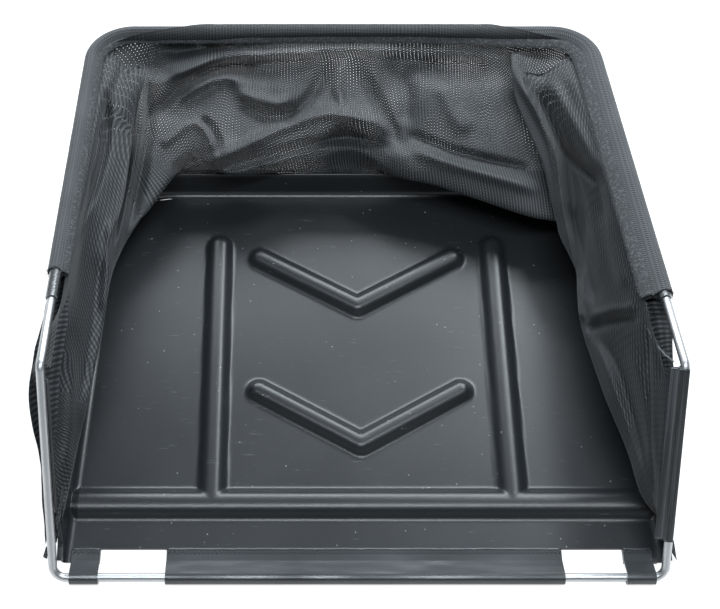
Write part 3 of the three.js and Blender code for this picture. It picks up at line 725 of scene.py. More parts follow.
def floor_grid(y0, y1, step, x0=None, x1=None):
    """Plan points of the floor between two rows, as wide as the floor or between two columns."""
    rows = np.linspace(y0, y1, int((y1 - y0) / step) + 2)
    span = 2 * FLOOR_HALF_FRONT if x0 is None else x1 - x0
    shares = np.linspace(0, 1, int(span / step) + 2)
    reach = floor_reach(rows)[:, None]
    low = -reach if x0 is None else np.maximum(x0, -reach)
    high = reach if x1 is None else np.minimum(x1, reach)
    return lerp(low, high, shares[None, :]), np.broadcast_to(rows[:, None], (len(rows), len(shares)))


def sheet_of(x, y):
    """Top face of a stretch of floor and the parallel face below it."""
    height = bead_height(x, y)
    top = np.stack([x, y, SHEET + height], axis=-1)
    below = np.stack([x, y, height * (1 - CREST_EXTRA / BEAD_RISE)], axis=-1)
    return top, below


def wall_section(steps=7):
    """Wall profile, as distance out from the floor's edge and height, over the rim and down."""
    inner, outer = BASE_FILLET, BASE_FILLET + SHEET
    centre = SHEET + BASE_FILLET
    turns = np.linspace(-math.pi / 2, -LEAN, steps)
    section = [(inner * math.cos(t), centre + inner * math.sin(t)) for t in turns]
    foot = section[-1]
    inside = foot[0] + (WALL_HEIGHT - foot[1]) * math.tan(LEAN)
    outside = wall_outside(WALL_HEIGHT)
    for share in (0.25, 0.5, 0.75):
        section.append((lerp(foot[0], inside, share), lerp(foot[1], WALL_HEIGHT, share)))
    section += [(inside + out, WALL_HEIGHT + up) for out, up in RIM_INNER]
    section += [(outside + out, WALL_HEIGHT + up) for out, up in RIM_OUTER]
    section += [(outer * math.cos(t), centre + outer * math.sin(t)) for t in turns[::-1]]
    return section


def wall_top(y):
    """Height that the side walls reach near the front, where they slope down to the tongues."""
    return np.interp(y, [TONGUE_TIP, FRONT_Y, FRONT_Y + WALL_NOSE],
                     [NOSE_HEIGHT, NOSE_HEIGHT + (WALL_HEIGHT - NOSE_HEIGHT) / 4, WALL_HEIGHT])


def wall_grid():
    """Fillet and wall round the tray, ring by ring along its outline."""
    rings = []
    for out, z in wall_section():
        outline = tray_outline(out, z, WALL_STEPS)
        outline[0] = outline[-1] = (floor_half(TONGUE_TIP) + out, TONGUE_TIP, z)
        outline[-1][0] *= -1
        first = [lerp(outline[0], outline[1], t) for t in np.linspace(0, 1, NOSE_STEPS, endpoint=False)]
        last = [lerp(outline[-2], outline[-1], t) for t in np.linspace(0, 1, NOSE_STEPS + 1)[1:]]
        ring = np.array([*first, *outline[1:-1], *last])
        if out < wall_outside(WALL_HEIGHT) - SHEET:
            ring[:, 2] = np.maximum(ring[:, 2], SHEET + bead_height(ring[:, 0], ring[:, 1]))
        ring[:, 2] = np.minimum(ring[:, 2], wall_top(ring[:, 1]))
        rings.append(ring)
    return np.array(rings)


def joined_grids(grids):
    """Points and faces of several grids in one mesh; a flipped grid faces the other way."""
    points, faces = [], []
    for grid, flipped in grids:
        start = len(points)
        rows, columns = grid.shape[:2]
        points.extend(grid.reshape(-1, 3))
        for face in grid_faces(rows, columns):
            face = face[::-1] if flipped else face
            faces.append(tuple(start + i for i in face))
    return points, faces


def edge_strip(top, below):
    """The cut edge of the sheet between two rows of points."""
    return np.array([top, lerp(top, below, 0.15), lerp(top, below, 0.85), below])


def tray_shell(material):
    """The whole moulding with smooth beads: floor, tongues, cut edges, fillets and walls."""
    main_top = sheet_of(*floor_grid(FRONT_Y, REAR_Y, GRID_STEP))[0]
    main_below = sheet_of(*floor_grid(FRONT_Y, REAR_Y, 2 * GRID_STEP))[1]
    grids = [(main_top, False), (main_below, True), (wall_grid(), False)]
    for x0, x1 in TONGUES:
        top, below = sheet_of(*floor_grid(TONGUE_TIP, FRONT_Y, 2 * GRID_STEP, x0, x1))
        grids += [(top, False), (below, True), (edge_strip(top[0], below[0]), True),
                  (edge_strip(top[:, 0], below[:, 0]), False),
                  (edge_strip(top[:, -1], below[:, -1]), True)]
    for (_, x0), (x1, _) in zip(TONGUES, TONGUES[1:]):
        top, below = sheet_of(np.linspace(x0, x1, GAP_POINTS), np.full(GAP_POINTS, FRONT_Y))
        grids.append((edge_strip(top, below), True))
    piece = mesh_object("tray_shell", *joined_grids(grids))
    return finish_piece(piece, material, ["tray"])


# Wire and tube

def carried_frames(path):
    """Forward, side and top at each point of a path, without twist."""
    forward = unit(np.gradient(path, axis=0))
    side = np.array((1.0, 0.0, 0.0))
    sides = []
    for f in forward:
        side = side - f * (side @ f)
        side = side / np.linalg.norm(side)
        sides.append(side)
    sides = np.array(sides)
    return forward, sides, np.cross(forward, sides)


def rings_on(path, side, top, radii, sides):
    """Rings of a round bar; radii hold one radius for each point of the path."""
    turns = np.linspace(0, 2 * math.pi, sides, endpoint=False)[None, :, None]
    ring = side[:, None, :] * np.cos(turns) + top[:, None, :] * np.sin(turns)
    return path[:, None, :] + ring * np.asarray(radii)[:, None, None]


def wire_frame(material):
    """The bent wire, with slightly rounded ends inside the tube."""
    plug = JOINT_SETBACK + PLUG_LENGTH
    corners = [upper_leg(-1, plug), frame_corner(-1, "bend"), frame_corner(-1, "front"),
               frame_corner(1, "front"), frame_corner(1, "bend"), upper_leg(1, plug)]
    path = rounded_path(corners, (LEG_BEND, FRONT_CORNER, FRONT_CORNER, LEG_BEND), ROD_CORNER_STEPS)
    path = np.concatenate([[path[0]], path[:1] + unit(path[1] - path[0]) * ROD_END, path[1:-1],
                           path[-1:] + unit(path[-2] - path[-1]) * ROD_END, [path[-1]]])
    radii = np.full(len(path), float(ROD_RADIUS))
    radii[0] = radii[-1] = ROD_RADIUS - ROD_END_DEPTH
    rings = rings_on(path, *carried_frames(path)[1:], radii, BAR_SIDES)
    piece = mesh_object("wire_frame", rings.reshape(-1, 3), capped_faces(len(path), BAR_SIDES))
    return finish_piece(piece, material, ["lower_rod"])


def tube_frame(material):
    """The bent tube with its open mouths, where the wire goes in."""
    path = tube_path(JOINT_SETBACK, JOINT_SETBACK)
    start, end = unit(path[1] - path[0]), unit(path[-2] - path[-1])
    reaches = (MOUTH_DEPTH, MOUTH_LIP, 0, MOUTH_ROUNDING)
    path = np.array([*(path[0] + start * reach for reach in reaches), *path[1:-1],
                     *(path[-1] + end * reach for reach in reaches[::-1])])
    radii = np.full(len(path), float(TUBE_RADIUS))
    radii[[0, 1, -2, -1]] = TUBE_BORE
    radii[[2, -3]] = TUBE_RADIUS - MOUTH_ROUNDING
    side, top = (np.concatenate([[way[0]] * 3, way, [way[-1]] * 3])
                 for way in carried_frames(path[3:-3])[1:])
    rings = rings_on(path, side, top, radii, BAR_SIDES)
    piece = mesh_object("tube_frame", rings.reshape(-1, 3), grid_faces(len(path), BAR_SIDES, closed=True))
    return finish_piece(piece, material, ["upper_tube"])


# Sleeve

def sleeve_path(step):
    """The line of the sleeve, with the ways forward, outward and up at each of its points."""
    line = tube_path(JOINT_SETBACK + START_LEFT, JOINT_SETBACK + START_RIGHT)
    path = points_at(line, np.linspace(0, 1, int(lengths_along(line)[-1] / step) + 2))
    up = unit(np.cross((1.0, 0, 0), frame_corner(1, "top") - frame_corner(1, "bend")))
    forward = unit(np.gradient(path, axis=0))
    side = unit(np.cross(up, forward))
    return path, forward, side, np.cross(forward, side)


def sleeve_section(tail, round_points=30, tail_points=12):
    """Round over the tube, then flat in to the sewn edge, with a groove where the stitches run."""
    turns = np.radians(np.linspace(*SLEEVE_ROUND, round_points))
    ring = np.stack([SLEEVE_RADIUS * np.cos(turns), SLEEVE_RADIUS * np.sin(turns)], axis=-1)
    drop = -SLEEVE_DROP * SLEEVE_RADIUS
    start, end = ring[-1], np.array((-tail, drop + SLEEVE_EDGE))
    shares = np.linspace(0, 1, tail_points)[1:]
    flat = np.array([lerp(start, end, t) for t in shares])
    flat[:, 1] += -GROOVE_DEPTH * np.exp(-((shares - GROOVE_PLACE) / GROOVE_WIDTH) ** 2)
    under = np.array([(-tail * share, drop + up) for share, up in SLEEVE_UNDER])
    return np.concatenate([ring, flat, under])


def sleeve_cloth(material):
    """Knitted binding round the tube, with ragged ends and a slightly uneven sewn edge."""
    path, forward, side, top = sleeve_path(SLEEVE_STEP)
    sections = np.array([sleeve_section(sleeve_tail(point[0])) for point in path])
    count = sections.shape[1]
    uneven = [[noise.noise(Vector((i * 0.12, k * 0.4, 0))) for k in range(count)] for i in range(len(path))]
    sections *= 1 + SLEEVE_WAVE * np.array(uneven)[:, :, None]
    ragged = np.array([noise.noise(Vector((i * 0.9, 3.0, 0))) for i in range(count)])
    ends = np.zeros(len(path))
    ends[:3] = [-out for out in RAGGED_ENDS]
    ends[-3:] = RAGGED_ENDS[::-1]
    rings = (path[:, None, :] + side[:, None, :] * sections[:, :, :1] + top[:, None, :] * sections[:, :, 1:]
             + forward[:, None, :] * (ragged[None, :] * ends[:, None])[:, :, None])
    closed = []
    for end, inwards in ((0, CLOSED_OVER), (-1, -CLOSED_OVER)):
        inner = unit(sections[end]) * (TUBE_RADIUS + 0.05)
        closed.append(path[end] + forward[end] * inwards + side[end] * inner[:, :1] + top[end] * inner[:, 1:])
    rings = np.concatenate([[closed[0]], rings, [closed[1]]])
    u = lengths_along(np.concatenate([path[:1], path, path[-1:]]))
    v = lengths_along(sections[0])
    piece = mesh_object("sleeve_binding", rings.reshape(-1, 3), grid_faces(len(rings), count, closed=True),
                        uv_grid(u, v))
    return finish_piece(piece, material, ["sleeve"])


def thread_mesh(name, lines, radius, material, sides=5):
    """Thin threads along several polylines, in one mesh."""
    points, faces = [], []
    for line in lines:
        line = np.asarray(line, float)
        start = len(points)
        rings = rings_on(line, *carried_frames(line)[1:], np.full(len(line), radius), sides)
        points.extend(rings.reshape(-1, 3))
        faces += [tuple(start + i for i in face) for face in capped_faces(len(line), sides)]
    return finish_piece(mesh_object(name, points, faces), material)


def stray_fibres(material):
    """Frayed fibres along the sewn edge of the sleeve and at its two ends."""
    random = np.random.default_rng(7)
    path, forward, side, top = sleeve_path(FIBRE_STEP)
    seam = top * (-SLEEVE_DROP * SLEEVE_RADIUS + 0.6)
    lines = []
    for k, point in enumerate(path):
        near_end = min(k, len(path) - 1 - k) < END_POINTS
        frayed = point[0] > 0 or (abs(point[0]) > 120 and point[1] > 190)
        for _ in range(FIBRES_AT_END if near_end else FIBRES_AT_SEAM if frayed else 1):
            if near_end:
                turn = random.uniform(-2.1, 1.8)
                out = side[k] * math.cos(turn) + top[k] * math.sin(turn)
                start = point + out * SLEEVE_RADIUS
                way = forward[k] * (-1 if k < END_POINTS else 1) * random.uniform(0.3, 1.0)
                way = way + out * random.uniform(-0.2, 0.5)
            else:
                start = point - side[k] * sleeve_tail(point[0]) + seam[k]
                way = -side[k] * random.uniform(0.2, 1)
                way = way + forward[k] * random.uniform(-1, 1)
                way = way + top[k] * random.uniform(-0.1, 0.5)
            length = random.uniform(0.8, 2.6)
            bend = random.normal(0, 0.35, 3)
            way = unit(way) * length
            lines.append([start, start + way / 2 + bend * 0.4, start + way + bend])
    return thread_mesh("stray_fibres", lines, FIBRE_RADIUS, material, sides=3)


# Clip strips

def strip_section():
    """Section of a clip strip, as distance in to the bag and height over the leg: a C that opens
    outward and down, with fine ridges, and a flat flange that the bag is sewn to."""
    outer, far = STRIP_BORE + STRIP_WALL, STRIP_BORE + STRIP_FLAT

    def arc(start, end, count, radius, ridge=0.0):
        turns = np.radians(np.linspace(start, end, count))
        reach = radius + ridge * np.cos(turns * STRIP_RIDGES) ** 2
        return np.stack([reach * np.cos(turns), reach * np.sin(turns)], axis=-1)

    top = arc(STRIP_LIP, STRIP_ROOT, 80, outer, STRIP_RIDGE)
    root, edge = top[-1], STRIP_WALL / 2
    over = np.array([(lerp(root[0], far, t), lerp(root[1], edge, min(1, 3 * t)))
                     for t in (0.2, 0.4, 0.7, 0.97)])
    under = over[::-1] * (1, 0) + (0, -edge)
    end = np.array([(far, edge / 2), (far, -edge / 2)])
    below = arc(-STRIP_ROOT, STRIP_LOWER_LIP, 40, outer)
    return np.concatenate([top, over, end, under, below, arc(STRIP_LOWER_LIP, STRIP_LIP, 60, STRIP_BORE)])


def clip_strip(name, side, inset, length, offset, turn, material):
    """A clip strip down a front leg, moved off it by an offset and turned about its own length."""
    bend, down, top = leg_frame(side)
    inward = np.array((-side, 0.0, 0.0))
    along = np.linspace(0, length, 60)
    path = bend + offset + (inset + along)[:, None] * down
    sway = np.array([noise.noise(Vector((a / 25, 1.7 * side, 0))) for a in along]) * STRIP_SWAY
    x, y = strip_section().T
    across = (x * math.cos(turn) - y * math.sin(turn))[None, :, None]
    over = (x * math.sin(turn) + y * math.cos(turn))[None, :, None]
    rings = (path[:, None, :] + inward * across + top * over
             + top * sway[:, None, None] * np.clip(across / 10, 0, 1))
    piece = mesh_object(name, rings.reshape(-1, 3), capped_faces(len(path), len(x)))
    return finish_piece(piece, material, [name.replace("strip", "clip_strip")])


# Flap and tabs

def zigzag(start, end):
    """Zigzag thread between two points, swinging across in plan."""
    length = np.linalg.norm(end - start)
    along = (end - start) / length
    across = np.array((-along[1], along[0], 0.0))
    count = int(length / STITCH_PITCH) * 2
    return [lerp(start, end, k / count) + across * STITCH_SWING * (1 if k % 2 else -1)
            for k in range(count + 1)]


def stitches(material):
    """Zigzag seams that hold the flap and the tabs to the tray's tongues."""
    y, z = photo_point(300, STITCH_ROW, VINYL_TOP)[1], VINYL_TOP + STITCH_LIFT
    lines = []
    for middle, half in VINYL_PIECES:
        reach = np.array((half - STITCH_INSET, 0, 0))
        centre = np.array((middle, y, z))
        lines.append(zigzag(centre - reach, centre + reach))
    return thread_mesh("seam_thread", lines, STITCH_RADIUS, material)


def folded_edges(material):
    """Rounded turned-over edges of the flap and the tabs, where they lie on the tray."""
    y = photo_point(300, FOLD_ROW, VINYL_TOP)[1]
    lines = []
    for middle, half in VINYL_PIECES:
        x = np.linspace(middle - half, middle + half, max(8, int(half)))
        sway = [FOLD_SWAY * noise.noise(Vector((value / 9, 5.0, 0))) for value in x]
        lines.append(np.stack([x, y + np.array(sway), np.full(len(x), VINYL_TOP - FOLD_SINK)], axis=-1))
    return thread_mesh("folded_edges", lines, FOLD_RADIUS, material, sides=12)


# Loose hems, their cord and their tags, as places of the photograph: column, row and height over
# the ground

HEM_INNER = [(636, 296, 104), (640, 312, 104), (644, 330, 104), (649, 350, 104), (657, 374, 106)]
HEM_OUTER = [(663, 296, 119), (670, 312, 120), (673.5, 328, 120), (674, 346, 120), (674, 370, 118)]
LEFT_HEM_INNER = [(70, 262, 100), (69, 290, 100), (66, 330, 98), (60, 380, 88),
                  (56, 430, 72), (54, 480, 48), (54, 530, 22)]
LEFT_HEM_OUTER = [(56, 268, 110), (48, 296, 112), (41.5, 325, 112), (34, 352, 110), (29.5, 385, 104),
                  (29.5, 412, 94), (37, 446, 76), (42, 490, 46), (46.5, 545, 14)]
HEM_LINE = [(642, 292, 114), (646, 306, 114.5), (648, 318, 114.5), (649, 330, 115),
            (655, 343, 117), (663, 353, 119), (673, 362, 122)]
LEFT_TAG = [(46, 547, 10), (49, 551, 9), (47, 559, 6), (43, 557, 7)]
RIGHT_TAG = [(671, 542, 14), (674, 541, 14), (677, 561, 5), (672, 553, 8)]
HEM_STEPS = 60
HEM_COLUMNS = 12
HEM_WIDTH = 14
HEM_BULGE = 3.0
LEFT_HEM_BULGE = 2.0
HEM_WRINKLE = 1.2
HEM_WRINKLE_SIZE = 16
CORD_RADIUS = 0.85
CORD_TWIST = 0.35
CORD_TWIST_SIZE = 1.7
CORD_POINTS = 70
HEM_FIBRES = 3
HEM_FIBRE_RADIUS = 0.16
TAG_THICKNESS = (0, 0.9, -0.3)


def photo_curve(places, count):
    return curve_through(np.array([photo_point(*place) for place in places]), count)


def hem_flap(name, inner_line, outer_line, bulge, material):
    """A loose hem of the bag behind a front leg: at the right, between the end of the sleeve and the
    clip strip, and at the left all the way down, where the strip is off its leg."""
    inner, outer = photo_curve(inner_line, HEM_STEPS), photo_curve(outer_line, HEM_STEPS)
    shares = np.linspace(0, 1, HEM_COLUMNS)
    grid = np.array([[lerp(a, b, t) + np.array((0, 0, bulge * math.sin(math.pi * t))) for t in shares]
                     for a, b in zip(inner, outer)])
    grid += HEM_WRINKLE * np.array([[noise.noise_vector(Vector(p / HEM_WRINKLE_SIZE)) for p in row]
                                    for row in grid])
    u = lengths_along(inner)
    piece = mesh_object(name, grid.reshape(-1, 3), grid_faces(HEM_STEPS, HEM_COLUMNS),
                        uv_grid(u, shares * HEM_WIDTH))
    finish_piece(piece, material)
    return piece


def hem_cord(material):
    """The overlocked hem of the right panel, with its loose thread ends."""
    line = photo_curve(HEM_LINE, CORD_POINTS)
    random = np.random.default_rng(11)
    twisted = line + np.array([noise.noise_vector(Vector(p / CORD_TWIST_SIZE)) for p in line]) * CORD_TWIST
    fibres = []
    for point in np.repeat(line, HEM_FIBRES, axis=0):
        way = random.normal(0, 1, 3)
        fibres.append([point, point + way * 0.7, point + way * 1.3 + random.normal(0, 0.4, 3)])
    thread_mesh("hem_cord", [twisted], CORD_RADIUS, material, sides=10)
    return thread_mesh("hem_fibres", fibres, HEM_FIBRE_RADIUS, material, sides=3)


def hem_tag(name, corners, material):
    """A pointed end of the bag's hem that sticks out below a clip strip, as a thin folded tab."""
    a, b, c, d = (photo_point(*corner) for corner in corners)
    front = np.array([[lerp(lerp(a, b, s), lerp(d, c, s), t) for s in np.linspace(0, 1, 5)]
                      for t in np.linspace(0, 1, 8)])
    back = front + np.array(TAG_THICKNESS)
    sides = [(front[:, 0], back[:, 0], True), (front[:, -1], back[:, -1], False),
             (front[-1], back[-1], True), (front[0], back[0], False)]
    points, faces = joined_grids([(front, False), (back, True),
                                  *((np.array([near, far]), flipped) for near, far, flipped in sides)])
    piece = mesh_object(name, points, faces, np.asarray(points)[:, :2] * MM)
    return finish_piece(piece, material)


# Bag

# Ways in from the top line, in plan, evenly along each side
INWARDS = {
    "left": [(1, 0), (1, 0), (1, 0), (1, 0), (1, -0.1), (0.7, -0.7)],
    "back": [(0.7, -0.7), (0.1, -1), (0, -1), (0, -1), (0, -1), (0, -1), (0, -1), (-0.1, -1), (-0.7, -0.7)],
    "right": [(-1, 0), (-1, 0), (-1, 0), (-1, 0), (-1, -0.1), (-0.7, -0.7)],
}

# Each side hangs in folds between the tray's rim and the frame. A station is one profile from the
# top edge down to the lowest fold. It has its share of the side's length, and its fold points as
# column and row of the photograph, and height over the ground.
LEFT_SEAM = [(118, 58, 86), (126, 68, 82), (136, 66, 85), (145, 72, 84),
             (140, 96, 75), (133, 134, 64), (132, 168, 54), (150, 208, 43)]
RIGHT_SEAM = [(556, 66, 86), (540, 76, 80), (524, 72, 84), (530, 100, 80),
              (545, 126, 74), (556, 158, 67), (562, 204, 58), (575, 268, 44)]
STATIONS = {
    "left": {
        0.0: [(53, 546, 11), (54, 545, 12), (55, 544, 13), (56, 543, 14),
              (57, 541, 15), (57, 539, 16), (58, 537, 18), (58, 534, 21)],
        0.143: [(45, 446, 62), (44, 444, 57), (47, 446, 52), (53, 450, 47),
                (60, 452, 42), (67, 450, 37), (73, 447, 33), (77, 446, 29)],
        0.286: [(36, 366, 112), (31, 376, 104), (30, 388, 95), (38, 392, 84),
                (52, 390, 72), (66, 392, 60), (78, 398, 50), (87, 404, 41)],
        0.429: [(63, 298, 116), (64, 304, 106), (66, 310, 95), (69, 316, 84),
                (75, 321, 72), (84, 325, 61), (94, 328, 54), (102, 331, 47)],
        0.571: [(77, 228, 108), (79, 234, 98), (80, 241, 88), (83, 248, 78),
                (90, 256, 69), (99, 262, 62), (107, 268, 57), (111, 277, 50)],
        0.714: [(90, 162, 102), (92, 170, 94), (91, 178, 86), (98, 188, 78),
                (110, 198, 70), (121, 208, 63), (114, 226, 52), (123, 246, 42)],
        0.857: [(102, 104, 95), (104, 112, 90), (103, 120, 85), (112, 128, 80),
                (124, 136, 74), (132, 142, 69), (122, 172, 54), (138, 222, 42)],
        1.0: LEFT_SEAM,
    },
    "back": {
        0.0: LEFT_SEAM,
        0.083: [(150, 50, 82), (154, 62, 76), (150, 82, 79), (146, 92, 75),
                (141, 108, 73), (140, 136, 63), (152, 160, 57), (170, 180, 47)],
        0.167: [(184, 50, 80), (181, 73, 83), (182, 82, 77), (180, 92, 77),
                (176, 112, 66), (184, 126, 64), (189, 146, 56), (192, 158, 50)],
        0.25: [(222, 44, 84), (222, 56, 85), (222, 67, 73), (222, 80, 80),
               (223, 92, 72), (218, 122, 65), (220, 152, 61), (227, 171, 50)],
        0.333: [(262, 43, 85), (261, 54, 86), (261, 65, 73), (258, 88, 77),
                (258, 112, 67), (262, 146, 62), (266, 163, 52), (270, 169, 40)],
        0.417: [(302, 42, 86), (302, 50, 88), (304, 61, 77), (305, 88, 71),
                (303, 114, 67), (306, 140, 61), (309, 148, 54), (312, 160, 40)],
        0.5: [(342, 42, 86), (342, 49, 89), (346, 60, 79), (347, 98, 66),
              (348, 116, 69), (348, 123, 67), (350, 129, 56), (353, 150, 48)],
        0.583: [(382, 42, 86), (382, 50, 88), (384, 62, 75), (388, 88, 69),
                (393, 118, 64), (396, 142, 55), (398, 156, 55), (399, 174, 45)],
        0.667: [(422, 42, 85), (422, 52, 85), (423, 64, 72), (424, 85, 74),
                (425, 115, 65), (427, 141, 56), (430, 158, 57), (433, 183, 45)],
        0.75: [(462, 43, 84), (462, 54, 84), (462, 65, 71), (463, 88, 72),
               (465, 122, 63), (467, 156, 52), (470, 172, 54), (474, 197, 43)],
        0.833: [(502, 44, 84), (504, 58, 82), (506, 72, 74), (512, 92, 71),
                (518, 124, 61), (524, 166, 50), (530, 186, 52), (534, 217, 41)],
        0.875: [(512, 50, 82), (514, 62, 76), (522, 84, 68), (534, 108, 60),
                (546, 138, 53), (553, 168, 47), (557, 196, 44), (560, 222, 38)],
        0.917: [(530, 52, 82), (512, 52, 86), (512, 70, 83), (517, 100, 76),
                (530, 134, 67), (544, 168, 58), (552, 204, 50), (559, 232, 42)],
        1.0: RIGHT_SEAM,
    },
    "right": {
        0.0: [(656, 543, 24), (657, 541, 24), (658, 539, 24), (660, 537, 24),
              (662, 534, 24), (665, 531, 24), (668, 528, 24), (671, 525, 24)],
        0.143: [(660, 462, 70), (657, 465, 63), (654, 468, 56), (651, 472, 50),
                (649, 477, 44), (647, 483, 38), (645, 489, 33), (643, 497, 28)],
        0.286: [(664, 374, 118), (657, 380, 106), (650, 388, 93), (644, 398, 80),
                (638, 408, 68), (633, 418, 57), (629, 430, 47), (627, 450, 36)],
        0.429: [(637, 300, 112), (631, 308, 102), (625, 318, 90), (619, 332, 78),
                (613, 348, 67), (609, 364, 58), (606, 380, 50), (606, 400, 40)],
        0.571: [(618, 230, 108), (613, 240, 96), (609, 254, 84), (604, 270, 74),
                (600, 288, 65), (597, 306, 57), (593, 328, 49), (589, 352, 39)],
        0.714: [(602, 166, 104), (600, 176, 97), (597, 188, 84), (590, 206, 72),
                (590, 236, 64), (588, 268, 57), (584, 296, 49), (580, 322, 38)],
        0.857: [(583, 108, 96), (576, 118, 90), (568, 136, 76), (572, 156, 68),
                (580, 190, 62), (582, 228, 56), (580, 262, 49), (577, 292, 38)],
        0.929: [(572, 82, 92), (562, 92, 84), (550, 104, 76), (556, 124, 70),
                (564, 150, 62), (572, 190, 56), (574, 232, 50), (577, 278, 40)],
        1.0: RIGHT_SEAM,
    },
}

# Creases of the bag: their line as columns and rows of the photograph, half width in pixels, and
# how far the mesh stands up along them or, below nought, lies back, as a share of CREASE_DEPTH
CREASES = [
    ([(107, 80), (107, 130), (103, 158), (94, 190), (81, 225), (71, 262)], 3.5, -4.5),
    ([(104, 120), (98, 160), (88, 205), (74, 262)], 4, 2.5),
    ([(100, 250), (96, 300), (88, 350), (78, 410)], 7, -3.0),
    ([(66, 330), (72, 380), (70, 430), (64, 480)], 6, 2.5),
    ([(112, 215), (108, 262), (104, 320)], 5, 3.0),
    ([(138, 125), (164, 102), (186, 82), (205, 71), (233, 64), (264, 66)], 6, -6.0),
    ([(149, 90), (179, 73), (205, 64), (242, 56), (297, 53), (334, 56)], 3.5, 3.0),
    ([(177, 108), (196, 97), (214, 86), (238, 84)], 4, -3.5),
    ([(238, 102), (253, 110), (264, 117), (283, 117), (300, 108)], 4.5, -4.5),
    ([(232, 91), (256, 99), (278, 104), (297, 96)], 5, 3.5),
    ([(190, 121), (203, 128), (210, 140), (212, 153)], 4, 4.0),
    ([(200, 116), (212, 127), (219, 142), (218, 158)], 3, -4.5),
    ([(176, 174), (187, 161), (202, 157)], 5, -8.0),
    ([(190, 170), (242, 147), (270, 134), (297, 121), (335, 112), (375, 122), (410, 142)], 5.5, 4.5),
    ([(205, 174), (242, 163), (290, 150), (340, 136), (380, 142), (402, 156)], 5, -5.0),
    ([(160, 147), (179, 131), (194, 120)], 4, 3.0),
    ([(146, 60), (143, 90), (140, 130), (132, 175), (122, 225), (112, 270)], 4, 4.5),
    ([(152, 70), (150, 105), (147, 140), (139, 185), (128, 232)], 5, -4.5),
    ([(180, 50), (240, 42), (330, 40), (420, 40), (505, 44)], 3, -3.5),
    ([(190, 68), (235, 65), (300, 60), (380, 58), (470, 62)], 5, -2.5),
    ([(330, 56), (314, 93), (281, 129)], 5, -4.5),
    ([(340, 58), (338, 90), (345, 112)], 5, 3.0),
    ([(352, 55), (370, 87), (385, 115), (400, 147)], 6, -4.5),
    ([(404, 135), (416, 136), (450, 151), (485, 160), (519, 167), (540, 168)], 4, -5.0),
    ([(404, 146), (440, 160), (480, 172), (520, 184), (545, 194)], 6, 3.5),
    ([(423, 64), (455, 61), (487, 65)], 6, -4.0),
    ([(398, 60), (408, 95), (404, 128)], 8, -2.5),
    ([(440, 80), (452, 110), (470, 135)], 9, 2.5),
    ([(534, 86), (562, 150), (583, 170), (599, 183), (611, 188)], 4, -5.0),
    ([(507, 51), (522, 86), (540, 117), (553, 143), (559, 173), (563, 206), (570, 243), (577, 274)], 5, 4.0),
    ([(545, 70), (566, 110), (584, 146), (602, 182)], 7, 3.5),
    ([(587, 317), (612, 309), (638, 306)], 4, 3.0),
    ([(584, 330), (612, 322), (642, 318)], 4, -3.5),
    ([(574, 280), (576, 304), (583, 322)], 3.5, 3.5),
    ([(566, 200), (580, 240), (590, 282), (600, 310)], 7, -4.0),
    ([(600, 210), (612, 250), (626, 292)], 6, 3.0),
    ([(582, 325), (603, 360), (617, 398), (632, 441), (644, 484), (653, 510)], 6, 2.5),
    ([(600, 330), (622, 372), (636, 420), (648, 470)], 7, -3.0),
    ([(646, 310), (648, 335), (649, 380), (651, 440), (655, 505)], 2.5, -2.0),
    ([(628, 340), (640, 380), (650, 430), (656, 480)], 6, 2.5),
]

# Angle at which the mesh comes into view round the rear bar, by share of the back: below it and
# behind in the middle, where the mesh is rolled over the bar, and in front of it at the corners
ROLL_START = {0.0: 190, 0.083: 130, 0.167: 85, 0.25: 20, 0.333: -60, 0.667: -60,
              0.75: -10, 0.833: 80, 0.917: 140, 1.0: 190}
ROLL_RADIUS = 7.6
ROLL_END = 200
ROLL_POINTS = 6

WRINKLE = 1.1             # height of the small wrinkles
WRINKLE_SIZE = 22
CREASE_DEPTH = 2.1        # millimetres
CREASE_POINTS = 12
CREASE_FADE = 5           # creases fade over one part in this many of their length, at each end
FADE_AT_MARGIN = 14       # rows of the cloth over which all folds fade out
FADE_AT_EDGE = 5
CLOTH_COLUMNS = {"left": 180, "back": 240, "right": 180}
CLOTH_ROWS = 100
FOLD_SINK_UNDER = 6       # how far the mesh sinks behind its lowest fold
RIM_CLEARANCE = 4
RIM_LIFT = 2.5

# How far the ribs of each side run along the bag for each millimetre down it
RIB_SLANT = {"left": -0.9, "back": 0.0, "right": -0.8}


def along_line(places, line):
    """Distance of places from a polyline, and the share of its length at the nearest point."""
    line = np.asarray(line, float)
    lengths = lengths_along(line)
    nearest = np.full(places.shape[:-1], np.inf)
    share = np.zeros(places.shape[:-1])
    for start, end, travelled in zip(line, line[1:], lengths):
        step = end - start
        t = np.clip((places - start) @ step / (step @ step), 0, 1)
        distance = np.linalg.norm(places - start - t[..., None] * step, axis=-1)
        closer = distance < nearest
        nearest = np.where(closer, distance, nearest)
        share = np.where(closer, (travelled + t * np.linalg.norm(step)) / lengths[-1], share)
    return nearest, share


def creased(grid):
    """The surface with its creases pressed in along the line of sight; they fade out at their ends."""
    places = photo_place(grid)
    lift = WRINKLE * np.array([[noise.noise(Vector(p / WRINKLE_SIZE)) for p in column] for column in grid])
    for line, width, height in CREASES:
        line = points_at(np.array(line, float), np.linspace(0, 1, CREASE_POINTS))
        distance, share = along_line(places, line)
        fade = np.clip(np.minimum(share, 1 - share) * CREASE_FADE, 0, 1)
        lift += CREASE_DEPTH * height * np.exp(-(distance / width) ** 2) * fade * fade * (3 - 2 * fade)
    row = np.arange(grid.shape[1])
    lift *= np.clip(row[::-1] / FADE_AT_MARGIN, 0, 1) * np.clip(row / FADE_AT_EDGE, 0, 1)
    return grid + unit(np.array(CAMERA_PLACE) - grid) * lift[:, :, None]


